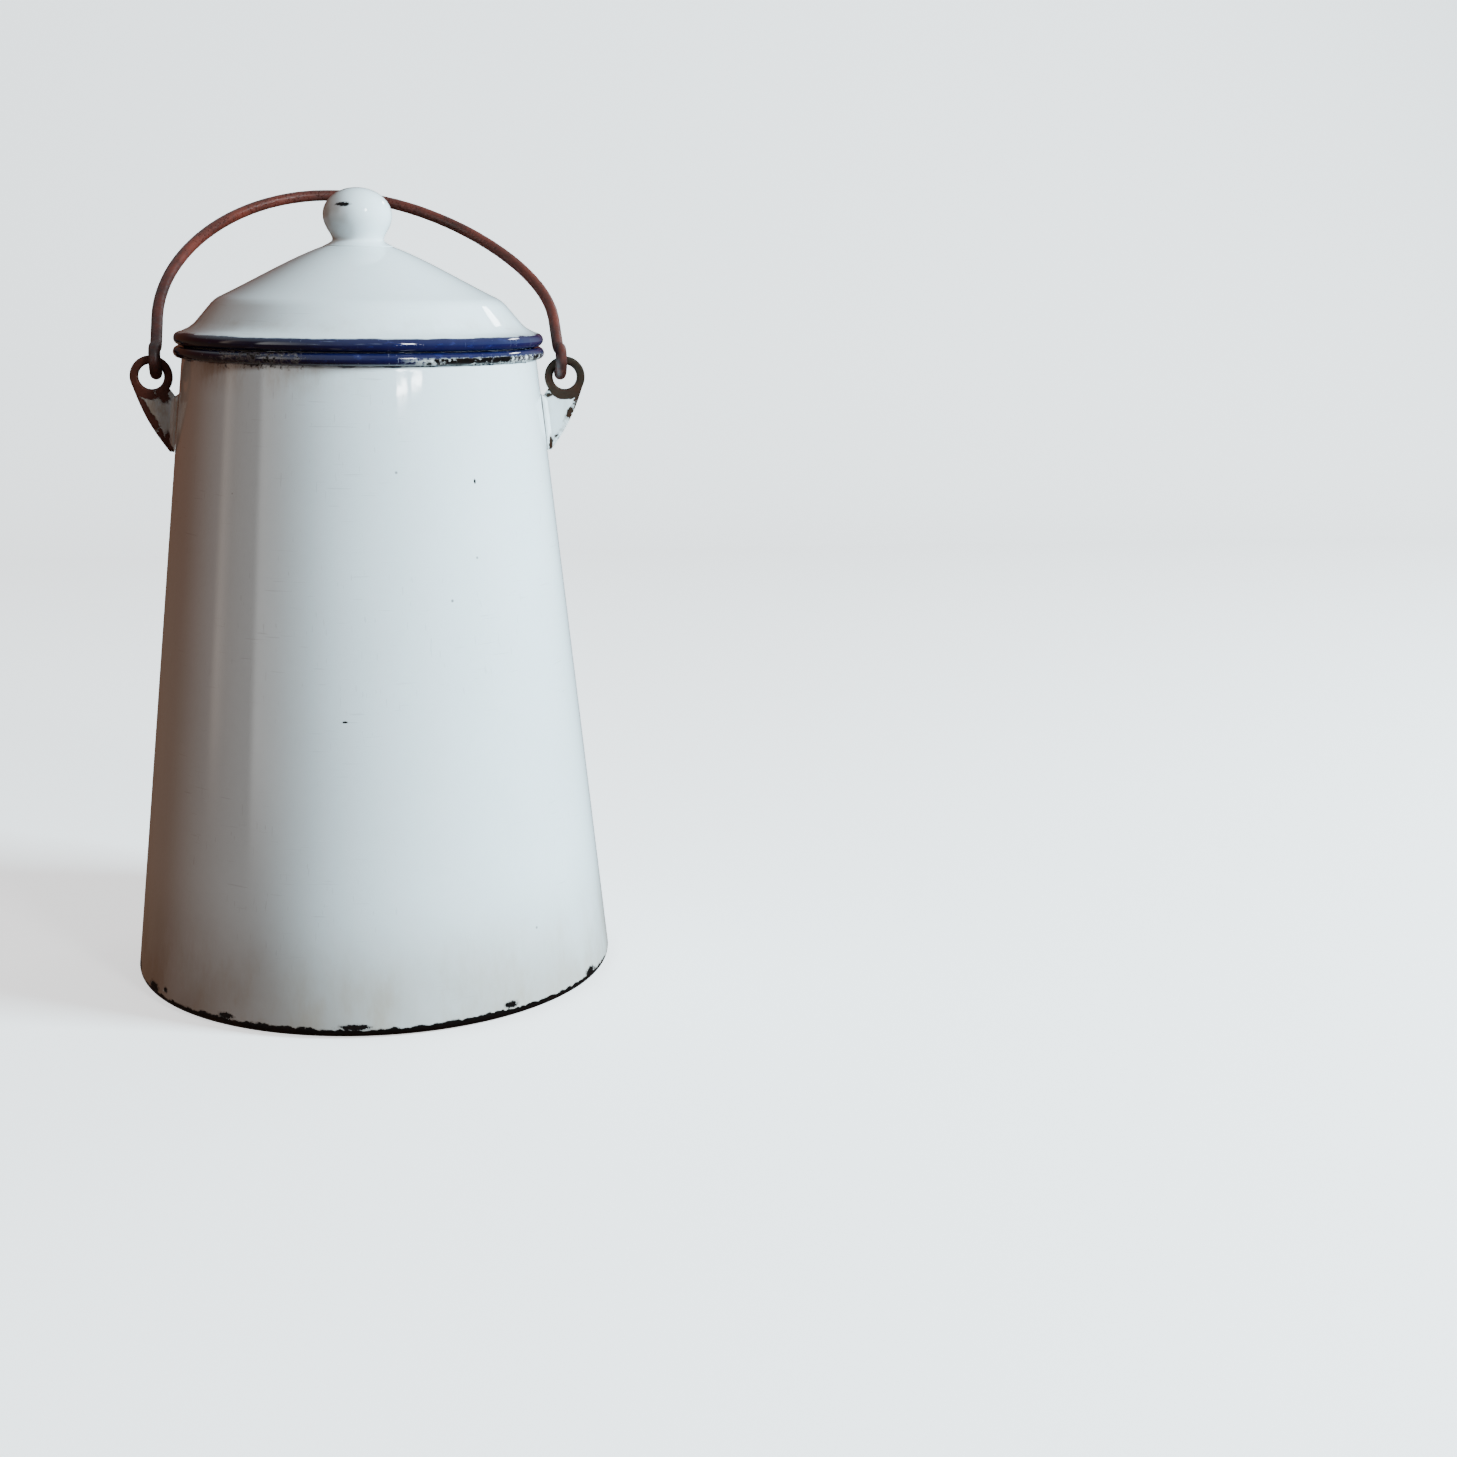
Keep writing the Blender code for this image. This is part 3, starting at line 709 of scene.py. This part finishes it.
def ear_material(name, side, iron, rust, grime, edge_amount, chips):
    """White enamel, rubbed to iron round the eyelet and knocked along the fin's outer edge."""
    material, tree, shader = new_material(name)
    place = object_place(tree)
    offset = vector_maths(tree, "SUBTRACT", place, (side * eyelet_x, 0.0, eyelet_z))
    reach = vector_maths(tree, "LENGTH", vector_maths(tree, "MULTIPLY", offset, (1.0, 0.0, 1.0)))
    rubbed = wear_along(tree, ramp(tree, reach, 0.0106, 0.0070), 0.66, 230.0)
    tip = Vector((side * cone_radius(ear_tip_z), 0.0, ear_tip_z))
    edge_way = (Vector((side * (eyelet_x + LOBE_RADIUS), 0.0, eyelet_z)) - tip).normalized()
    edge_out = Vector((side * edge_way.z, 0.0, -side * edge_way.x))
    outwards = vector_maths(tree, "DOT_PRODUCT", vector_maths(tree, "SUBTRACT", place, tip), edge_out)
    knocked = wear_along(tree, ramp(tree, outwards, -0.0022, 0.0006), edge_amount, 330.0)
    worn = most_worn(tree, [rubbed, knocked, chips_at(tree, chips)])
    chipped_finish(tree, shader, WHITE_GLAZE, grime, worn, 0.6, 1.0, rust, iron)
    return material


def make_ear(name, node_name, side, material):
    """Fin and feet in one mesh, turned to its own side of the pail."""
    work = bmesh.new()
    for mesh in (fin_mesh(), foot_mesh()):
        work.from_mesh(mesh)
    bmesh.ops.remove_doubles(work, verts=work.verts, dist=1e-6)
    bmesh.ops.recalc_face_normals(work, faces=work.faces)
    if side < 0:
        half_turn = Matrix.Rotation(math.pi, 3, "Z")
        bmesh.ops.rotate(work, verts=work.verts, cent=(0, 0, 0), matrix=half_turn)
    mesh = bpy.data.meshes.new(name)
    work.to_mesh(mesh)
    work.free()
    mesh.shade_smooth()
    mesh.set_sharp_from_angle(angle=math.radians(50.0))
    mesh.materials.append(material)
    ear = link_object(name, mesh)
    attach(ear, "pail")
    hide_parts(node_name)


tip_x = cone_radius(ear_tip_z, 0.0020)
left_chips = [((-tip_x - 0.0003, -0.0012, ear_tip_z + 0.0035), (0.0012, 0.0026, 0.0042)),
              ((-eyelet_x + 0.0042, 0.0, eyelet_z - 0.0072), (0.0022, 0.0040, 0.0024)),
              ((-tip_x - 0.0035, 0.0, ear_tip_z + 0.0090), (0.0010, 0.0030, 0.0009))]
right_chips = [((tip_x - 0.0006, -0.0012, ear_tip_z + 0.0028), (0.0010, 0.0024, 0.0030)),
               ((eyelet_x - 0.0060, 0.0, eyelet_z - 0.0066), (0.0016, 0.0030, 0.0010))]
# Partly painted shade: the left ear is on the shaded side and is given far more grime than the right, which
# makes it browner and darker.
left_worn = ear_material("ear_left_worn", -1, RUST_IRON, 0.60, 1.30, 0.58, left_chips)
right_worn = ear_material("ear_right_worn", 1, OLIVE_IRON, 0.56, 0.40, 0.50, right_chips)
make_ear("ear_fin_left", "ear_left", -1, left_worn)
make_ear("ear_fin_right", "ear_right", 1, right_worn)


# ------------------------------------------------------------
# Bail. One length of iron wire, bent by hand over a former and closed into a ring eye
# round each eyelet. It was never enamelled, and it has rusted evenly to a red brown that
# hands have polished along the crown.

WIRE_RADIUS = 0.0021
EYE_RADIUS = 0.0047
EYE_INSET = 0.0017
EYE_MOUTH = 40.0
EYE_NECK = 0.0067
NECK_HANDLES = (0.0025, 0.0046)
BAIL_HEIGHT = 0.0980
BAIL_LEG = 0.0234
BAIL_LEAN = math.radians(52.8)
CROWN_SKEW = 0.13
CROWN_POINT = 0.085

eye_x = eyelet_x - EYE_INSET
swing = next(joint for joint in frame["record"]["behaviour"]["joints"] if joint["name"] == "bail_swing")
hinge = Vector(swing["pos_m"])


def crown_place(t):
    """Place on the crown, in the bail's own plane, from 0 at the right to 1 at the left."""
    side = math.cos(math.pi * t)
    shape = 1.0 - CROWN_SKEW * side - CROWN_POINT * side ** 2
    rise = (BAIL_HEIGHT - BAIL_LEG) * math.sin(math.pi * t) * shape
    return Vector((eye_x * side, 0.0, BAIL_LEG + rise))


def eye_route():
    """Right eye, from its free end round the eyelet and up a bent neck to the leg."""
    loop = arc((0.0, 0.0), EYE_RADIUS, 90.0 - EYE_MOUTH, EYE_MOUTH - 270.0, 54)
    ring = [Vector((eye_x, y, z)) for y, z in loop]
    last = ring.pop()
    leaving = Vector((0.0, last.z, -last.y)).normalized() * NECK_HANDLES[0]
    leg = Vector((eye_x, 0.0, EYE_RADIUS + EYE_NECK))
    arriving = Vector((0.0, 0.0, NECK_HANDLES[1]))
    neck = interpolate_bezier(last, last + leaving, leg - arriving, leg, 18)
    return ring + neck


def wire_tree():
    """Geometry nodes that run a round wire along a route and pit its surface a little."""
    tree, source, sink = new_tree("wire_on_route", "GeometryNodeTree", [
        ("Route", "Geometry"),
        ("Radius", "Float", 0.002),
        ("Sides", "Int", 24),
        ("Spacing", "Float", 0.0007),
        ("Pitting", "Float", 0.00006),
        ("Material", "Material"),
    ], [("Wire", "Geometry")])
    route = add_node(tree, "GeometryNodeMeshToCurve", {"Mesh": source.outputs["Route"]})
    even = add_node(tree, "GeometryNodeResampleCurve", {"Curve": route.outputs[0]}, mode="LENGTH")
    tree.links.new(source.outputs["Spacing"], even.inputs["Length"])
    section = add_node(tree, "GeometryNodeCurvePrimitiveCircle",
                       {"Resolution": source.outputs["Sides"], "Radius": source.outputs["Radius"]})
    swept = add_node(tree, "GeometryNodeCurveToMesh",
                     {"Curve": even.outputs[0], "Profile Curve": section.outputs[0], "Fill Caps": True})
    pits = add_node(tree, "ShaderNodeTexNoise", {"Scale": 420.0, "Detail": 3.0}).outputs[0]
    dents = add_node(tree, "ShaderNodeTexNoise", {"Scale": 70.0, "Detail": 1.0}).outputs[0]
    rough = maths(tree, "SUBTRACT", maths(tree, "ADD", pits, dents), 1.35)
    depth = maths(tree, "MULTIPLY", maths(tree, "MINIMUM", rough, 0.0), source.outputs["Pitting"])
    normal = add_node(tree, "GeometryNodeInputNormal").outputs[0]
    push = add_node(tree, "ShaderNodeVectorMath", {0: normal, "Scale": depth}, operation="SCALE").outputs[0]
    moved = add_node(tree, "GeometryNodeSetPosition", {"Geometry": swept.outputs[0], "Offset": push})
    finish_geometry(tree, moved.outputs[0], source, sink)
    return tree


BAIL_IRON = {"Scale Black": (0.013, 0.006, 0.005, 1.0), "Brown": (0.030, 0.0075, 0.005, 1.0),
             "Red": (0.080, 0.0145, 0.0085, 1.0)}
RUST_DEPTH = 0.00022


def bail_material():
    """Rust all over, darker and scalier near the eyes, smoother on the crown."""
    material, tree, shader = new_material("bail_rusted_wire")
    iron = group_node(tree, rusted_iron, {"Rust": 0.62, **BAIL_IRON}).outputs
    place = object_place(tree)
    height = add_node(tree, "ShaderNodeSeparateXYZ", {0: place}).outputs[2]
    near_eye = ramp(tree, height, 0.245, 0.224)
    scale = ramp(tree, noise(tree, place, 240.0, 4.0, 0.65, None, 6.0), 0.40, 0.62)
    dark = times(tree, near_eye, plus(tree, times(tree, scale, 0.6), 0.25))
    colour = blend(tree, dark, iron["Color"], (0.014, 0.007, 0.006, 1.0))
    hands = ramp(tree, height, 0.240, 0.275, 0.10, 0.26)
    rough = maths(tree, "SUBTRACT", iron["Roughness"], hands)
    link_surface(tree, shader, colour, rough, iron["Height"], RUST_DEPTH, 0.7)
    return material


right_end = eye_route()
crown = [crown_place(i / 150) for i in range(151)]
left_end = [Vector((-p.x, p.y, p.z)) for p in reversed(right_end)]
lean = Matrix.Translation(hinge) @ Matrix.Rotation(-BAIL_LEAN, 4, "X")
route = [lean @ place for place in right_end + crown + left_end]
route_edges = [(i, i + 1) for i in range(len(route) - 1)]
bail_values = {"Radius": WIRE_RADIUS, "Sides": 24, "Spacing": 0.0008, "Pitting": 0.00009,
               "Material": bail_material()}
bail_wire = run_geometry("bail_wire", route, route_edges, wire_tree(), bail_values)
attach(bail_wire, "bail")
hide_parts("bail")


# ------------------------------------------------------------
# Lid. A spun and pressed cap with a straight flank up to the knob's seat, a steep band
# under its shoulder and a narrow brim rolled under to a round navy edge.

LID_INSET = 0.00034
LID_ROLL_RADIUS = 0.0023
LID_ROLL_TURN = 100.0
BRIM_RISE = 0.0019
BRIM_WIDTH = 0.0042
STEP_WIDTH = 0.0081
STEP_RISE = 0.0094
CONE_RISE = 0.0184
CROWN_HANDLE = Vector((0.0120, -0.0044))
SHOULDER_HANDLE = Vector((-0.0125, 0.0058))
CORNER_REACH = 0.0022
SEAT_RADIUS = 0.0124
KNOB_SHEET = 0.0008
LID_CLEARANCE = 0.0003

roll_r = bead_r + BEAD_RADIUS - LID_INSET - LID_ROLL_RADIUS
roll_z = RIM_HEIGHT + LID_CLEARANCE + LID_ROLL_RADIUS
brim = Vector((roll_r - BRIM_WIDTH, roll_z + LID_ROLL_RADIUS + BRIM_RISE))
shoulder = brim + Vector((-STEP_WIDTH, STEP_RISE))
seat = Vector((SEAT_RADIUS, shoulder.y + CONE_RISE))
knob_seat_z = seat.y - KNOB_SHEET


def rounded_corner(before, corner, after, reach, steps):
    """Points that round off a corner, starting and ending reach away from it."""
    start = corner + (before - corner).normalized() * reach
    end = corner + (after - corner).normalized() * reach
    curve = interpolate_bezier(start, start.lerp(corner, 0.6), end.lerp(corner, 0.6), end, steps)
    return [tuple(point) for point in curve]


def lid_material():
    """White, with navy on the rolled edge and a little grime in the brim's corner."""
    material, tree, shader = new_material("lid_enamel_worn")
    where = group_node(tree, round_axis).outputs
    radius = where["Radius"]
    place = where["Place"]
    line = wandering(tree, where["Height"], place, 110.0, 0.0011)
    navy_part = times(tree, ramp(tree, line, 0.23495, 0.23455), ramp(tree, radius, 0.0600, 0.0606))
    glaze = blend(tree, navy_part, WHITE_GLAZE, navy_paint(tree, place, 180.0, (1.0, 1.0, 3.0)))
    worn = wear_along(tree, ramp(tree, radius, 0.0636, 0.0652), 0.24, 420.0)
    corner = times(tree, ramp(tree, radius, 0.0610, 0.0585), ramp(tree, radius, 0.0530, 0.0575))
    grime = times(tree, plus(tree, corner, 0.05), 0.30)
    chipped_finish(tree, shader, glaze, grime, worn, scratches=0.6)
    return material


lid_face = [(0.0, knob_seat_z), (SEAT_RADIUS - KNOB_SHEET, knob_seat_z)]
lid_face.append((SEAT_RADIUS - KNOB_SHEET / 2, knob_seat_z + KNOB_SHEET / 4))
flank = interpolate_bezier(seat, seat + CROWN_HANDLE, shoulder + SHOULDER_HANDLE, shoulder, 40)
lid_face += [tuple(point) for point in flank[:-4]]
lid_face += rounded_corner(flank[-5], shoulder, brim, CORNER_REACH, 10)
lid_face += rounded_corner(shoulder, brim, Vector((roll_r, roll_z + LID_ROLL_RADIUS)), CORNER_REACH, 10)
lid_face += arc((roll_r, roll_z), LID_ROLL_RADIUS, 90.0, -LID_ROLL_TURN, 30)
lid_face = subdivide(lid_face, POINT_SPACING)
lid_section = sheet_profile(lid_face, SHEET, closed=False)
lid = turned_piece("lid_cap", lid_section, FINE_TURN, lid_material())
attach(lid, "lid")
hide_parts("lid_cover")


# ------------------------------------------------------------
# Lid collar. A plain ring of sheet fixed under the brim. It hangs in the mouth and keeps
# the lid from sliding off, and its lower edge is turned in a little to lead it home.

COLLAR_CLEARANCE = 0.0008
COLLAR_DEPTH = 0.0180
COLLAR_TURN = 2 * SHEET


def collar_material():
    """White and dull, knocked along the lower edge."""
    material, tree, shader = new_material("collar_enamel_worn")
    height = group_node(tree, round_axis).outputs["Height"]
    worn = wear_along(tree, ramp(tree, height, 0.2165, 0.2122), 0.62, 320.0)
    chipped_finish(tree, shader, WHITE_GLAZE, 0.25, worn, scratches=1.0, pin_holes=0.6, rust=0.45)
    return material


collar_r = cone_radius(bead_z, -SHEET) - COLLAR_CLEARANCE
slope = BRIM_RISE / BRIM_WIDTH
collar_top = brim.y - slope * (collar_r - brim.x) - SHEET * math.hypot(1.0, slope) - SEAM_GAP
turn_z = RIM_HEIGHT - COLLAR_DEPTH + COLLAR_TURN
collar_face = [(collar_r, collar_top), (collar_r, turn_z)]
collar_face += arc((collar_r - COLLAR_TURN, turn_z), COLLAR_TURN, -6.0, -50.0, 8)
collar_face = subdivide(collar_face, 0.003)
collar = turned_piece("lid_collar_ring", sheet_profile(collar_face, SHEET), COARSE_TURN, collar_material())
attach(collar, "lid")
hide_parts("lid_collar")


# ------------------------------------------------------------
# Knob. A hollow pressed ball on a flared foot, set in the lid's seat and enamelled in
# place, so that the joint is a soft fillet. One knock near the top has gone to iron.

KNOB_RADIUS = 0.0121
KNOB_NECK_RADIUS = 0.0083
KNOB_HEIGHT = 0.0209
KNOB_NECK_HEIGHT = 0.0038
KNOB_WIDEST_HEIGHT = 0.0114
UNDER_STEPS = 14
UNDER_KEPT = 8              # steps of the ball's underside before the neck leaves it
# degrees round the axis, level on the ball, half width and half height of each chip
KNOB_CHIPS = (
    (-117.0, 0.36, 0.0029, 0.0008),
    (-150.0, 0.93, 0.0012, 0.0006),
    (20.0, 0.86, 0.0016, 0.0010),
)

knob_foot = knob_seat_z + SEAM_GAP
knob_widest = knob_foot + KNOB_WIDEST_HEIGHT
knob_neck = knob_foot + KNOB_NECK_HEIGHT
knob_dome = KNOB_HEIGHT - KNOB_WIDEST_HEIGHT


def knob_material():
    """White and clean, with one knock that shows and two small ones."""
    material, tree, shader = new_material("knob_enamel_worn")
    chips = []
    for degrees, level, wide, tall in KNOB_CHIPS:
        radius = KNOB_RADIUS * math.sqrt(1.0 - level ** 2)
        chips.append((round_point(radius, degrees, knob_widest + knob_dome * level), (wide, wide, tall)))
    chipped_finish(tree, shader, WHITE_GLAZE, 0.12, chips_at(tree, chips), pin_holes=0.8, rust=0.1)
    return material


knob_face = [(0.0, knob_foot + KNOB_HEIGHT)]
for degrees in range(85, 0, -5):
    angle = math.radians(degrees)
    knob_face.append((KNOB_RADIUS * math.cos(angle), knob_widest + knob_dome * math.sin(angle)))
closing = math.acos(KNOB_NECK_RADIUS / KNOB_RADIUS)
under_height = (knob_widest - knob_neck) / math.sin(closing)
for i in range(UNDER_KEPT + 1):
    angle = closing * i / UNDER_STEPS
    knob_face.append((KNOB_RADIUS * math.cos(angle), knob_widest - under_height * math.sin(angle)))
waist = Vector(knob_face[-1])
falling = Vector((-KNOB_RADIUS * math.sin(angle), -under_height * math.cos(angle))).normalized()
foot_edge = Vector((SEAT_RADIUS - KNOB_SHEET / 8, knob_foot + KNOB_SHEET - 0.0002))
flare = foot_edge + Vector((-0.0040, 0.0021))
neck = interpolate_bezier(waist, waist + falling * 0.0052, flare, foot_edge, 28)
knob_face += [tuple(point) for point in neck[1:]]
knob_section = sheet_profile(knob_face, KNOB_SHEET, closed=False)
knob = turned_piece("lid_knob_ball", knob_section, 128, knob_material())
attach(knob, "lid")
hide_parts("lid_knob")


# ------------------------------------------------------------
# Studio. Pale paper that sweeps up behind, a cool key light at the right, two windows and
# two panes that the enamel mirrors, and a room whose walls are warm at the left and cool
# at the right. The camera comes last.

FLOOR_HALF_WIDTH = 3.0
FLOOR_FRONT = -3.0
SWEEP_START = 1.1
SWEEP_RADIUS = 0.9
SWEEP_TOP = 3.2
FLOOR_DROP = 0.0002         # keeps the paper clear of the foot ring


def paper_material():
    """Pale matt paper with a glow of its own. It is clear from beneath, so the foot can be seen."""
    material, tree, shader = new_material("studio_paper")
    grain = noise(tree, object_place(tree), 3.0)
    colour = blend(tree, grain, (0.8471, 0.8471, 0.8471, 1.0), (0.86, 0.86, 0.86, 1.0))
    underneath = add_node(tree, "ShaderNodeNewGeometry").outputs["Backfacing"]
    tree.links.new(colour, shader.inputs["Base Color"])
    tree.links.new(maths(tree, "SUBTRACT", 1.0, underneath), shader.inputs["Alpha"])
    shader.inputs["Roughness"].default_value = 0.7
    shader.inputs["Specular IOR Level"].default_value = 0.2
    shader.inputs["Emission Color"].default_value = (1.0, 1.0, 1.0, 1.0)
    shader.inputs["Emission Strength"].default_value = 1.20
    return material


def sweep_object(name, rows, material):
    """A wide strip through rows of depth and height, kept out of the pail's light and gloss."""
    mesh = bpy.data.meshes.new(name)
    points = []
    for y, z in rows:
        points.append((-FLOOR_HALF_WIDTH, y, z))
        points.append((FLOOR_HALF_WIDTH, y, z))
    faces = [(2 * i, 2 * i + 1, 2 * i + 3, 2 * i + 2) for i in range(len(rows) - 1)]
    mesh.from_pydata(points, [], faces)
    mesh.shade_smooth()
    mesh.materials.append(material)
    stage = link_object(name, mesh)
    stage.visible_glossy = False
    stage.visible_diffuse = False


paper = paper_material()
sweep_object("studio_floor", [(FLOOR_FRONT, -FLOOR_DROP), (SWEEP_START, -FLOOR_DROP)], paper)
bend = arc((SWEEP_START, SWEEP_RADIUS - FLOOR_DROP), SWEEP_RADIUS, -90.0, 0.0, 24)
sweep_object("studio_backdrop", bend + [(SWEEP_START + SWEEP_RADIUS, SWEEP_TOP)], paper)


def area_light(name, place, target, size, power, colour):
    """A rectangular light that faces its target."""
    light = bpy.data.lights.new(name, "AREA")
    light.shape = "RECTANGLE"
    light.size, light.size_y = size
    light.energy = power
    light.color = colour
    lamp = link_object(name, light)
    lamp.location = place
    lamp.rotation_euler = (target - place).to_track_quat("-Z", "Y").to_euler()
    return lamp


WINDOW_DISTANCE = 2.4
PANE_DISTANCE = 2.2
PANE_SHIFT = 0.185          # each pane's middle from the glazing bar between them

middle = Vector((0.0, 0.0, 0.13))
key_place = Vector((1.86, -0.83, 0.98))
key = area_light("key_right", key_place, middle, (0.6, 0.6), 205.0, (0.68, 0.90, 1.0))
key.visible_glossy = False
rear = middle + Vector((0.642, 0.543, 0.540)) * WINDOW_DISTANCE
area_light("rear_window", rear, middle, (0.60, 0.20), 8.0, (0.95, 0.98, 1.0))
tall = middle + Vector((0.43, -0.78, 0.455)) * WINDOW_DISTANCE
area_light("tall_window", tall, middle, (0.30, 0.62), 26.0, (0.94, 0.98, 1.0))
pane_target = Vector((0.0141, -0.0617, 0.2195))
pane_way = Vector((0.471, -0.867, 0.160))
pane_side = Vector((0.879, 0.477, 0.0))
for shift in (-PANE_SHIFT, PANE_SHIFT):
    pane = pane_target + pane_way * PANE_DISTANCE + pane_side * shift
    area_light("window_pane", pane, pane_target, (0.26, 0.012), 1.0, (1.0, 1.0, 1.0))

CAMERA_YAW = math.radians(11.5)
world = bpy.data.worlds.new("studio_air")
bpy.context.scene.world = world
world.use_nodes = True
air = world.node_tree
direction = add_node(air, "ShaderNodeTexCoord").outputs["Generated"]
unturned = add_node(air, "ShaderNodeVectorRotate", {"Vector": direction, "Angle": CAMERA_YAW},
                    rotation_type="Z_AXIS").outputs[0]
across, deep, upward = add_node(air, "ShaderNodeSeparateXYZ", {0: unturned}).outputs
front_angle = maths(air, "ARCTAN2", across, times(air, deep, -1.0))
round_room = plus(air, maths(air, "DIVIDE", front_angle, math.tau), 0.5)


def room_ramp(stops):
    """Colours round the room, each at its angle in degrees from the camera's side."""
    made = add_node(air, "ShaderNodeValToRGB", {0: round_room})
    elements = made.color_ramp.elements
    elements.remove(elements[1])
    for i, (degrees, colour) in enumerate(stops):
        position = degrees / 360.0 + 0.5
        stop = elements[0] if i == 0 else elements.new(position)
        stop.position = position
        stop.color = (*colour, 1.0)
    return made.outputs[0]


light_round = room_ramp((
    (-180.0, (0.760, 0.780, 0.800)),
    (-152.0, (0.460, 0.440, 0.430)),
    (-128.0, (0.200, 0.112, 0.078)),
    (-60.0, (0.215, 0.125, 0.088)),
    (-20.0, (0.120, 0.088, 0.072)),
    (40.0, (0.070, 0.090, 0.105)),
    (120.0, (0.190, 0.250, 0.290)),
    (155.0, (0.460, 0.500, 0.530)),
    (180.0, (0.760, 0.780, 0.800)),
))
mirrored_round = room_ramp((
    (-180.0, (0.120, 0.045, 0.026)),
    (-86.0, (0.150, 0.060, 0.036)),
    (-81.0, (1.150, 0.900, 0.740)),
    (-74.0, (0.300, 0.210, 0.155)),
    (-57.0, (0.160, 0.105, 0.080)),
    (-53.0, (2.300, 2.300, 2.250)),
    (-22.0, (0.600, 0.640, 0.680)),
    (30.0, (0.200, 0.240, 0.260)),
    (75.0, (0.360, 0.480, 0.560)),
    (120.0, (0.620, 0.840, 0.980)),
    (150.0, (0.450, 0.500, 0.540)),
    (172.0, (0.120, 0.045, 0.026)),
))
with_ceiling = blend(air, ramp(air, upward, 0.30, 0.75), mirrored_round, (0.55, 0.62, 0.66, 1.0))
mirrored = blend(air, ramp(air, upward, -0.03, -0.13), with_ceiling, (0.130, 0.078, 0.052, 1.0))
rays = add_node(air, "ShaderNodeLightPath").outputs
unseen = blend(air, rays["Is Glossy Ray"], light_round, mirrored)
seen = blend(air, rays["Is Camera Ray"], unseen, (1.40, 1.42, 1.44, 1.0))
air.links.new(seen, air.nodes["Background"].inputs["Color"])

CAMERA_PLACE = (-0.0164, -0.7503, 0.2608)
CAMERA_PITCH = math.radians(12.986)
CAMERA_ROLL = math.radians(0.674)
lens = bpy.data.cameras.new("camera")
lens.lens = 50.0
lens.sensor_width = 36.0
camera = link_object("camera", lens)
level_look = Vector((math.sin(CAMERA_YAW), math.cos(CAMERA_YAW), 0.0))
look = level_look * math.cos(CAMERA_PITCH) - Vector((0.0, 0.0, math.sin(CAMERA_PITCH)))
camera.location = CAMERA_PLACE
roll = Quaternion((0.0, 0.0, 1.0), CAMERA_ROLL)
camera.rotation_euler = (look.to_track_quat("-Z", "Y") @ roll).to_euler()
bpy.context.scene.camera = camera
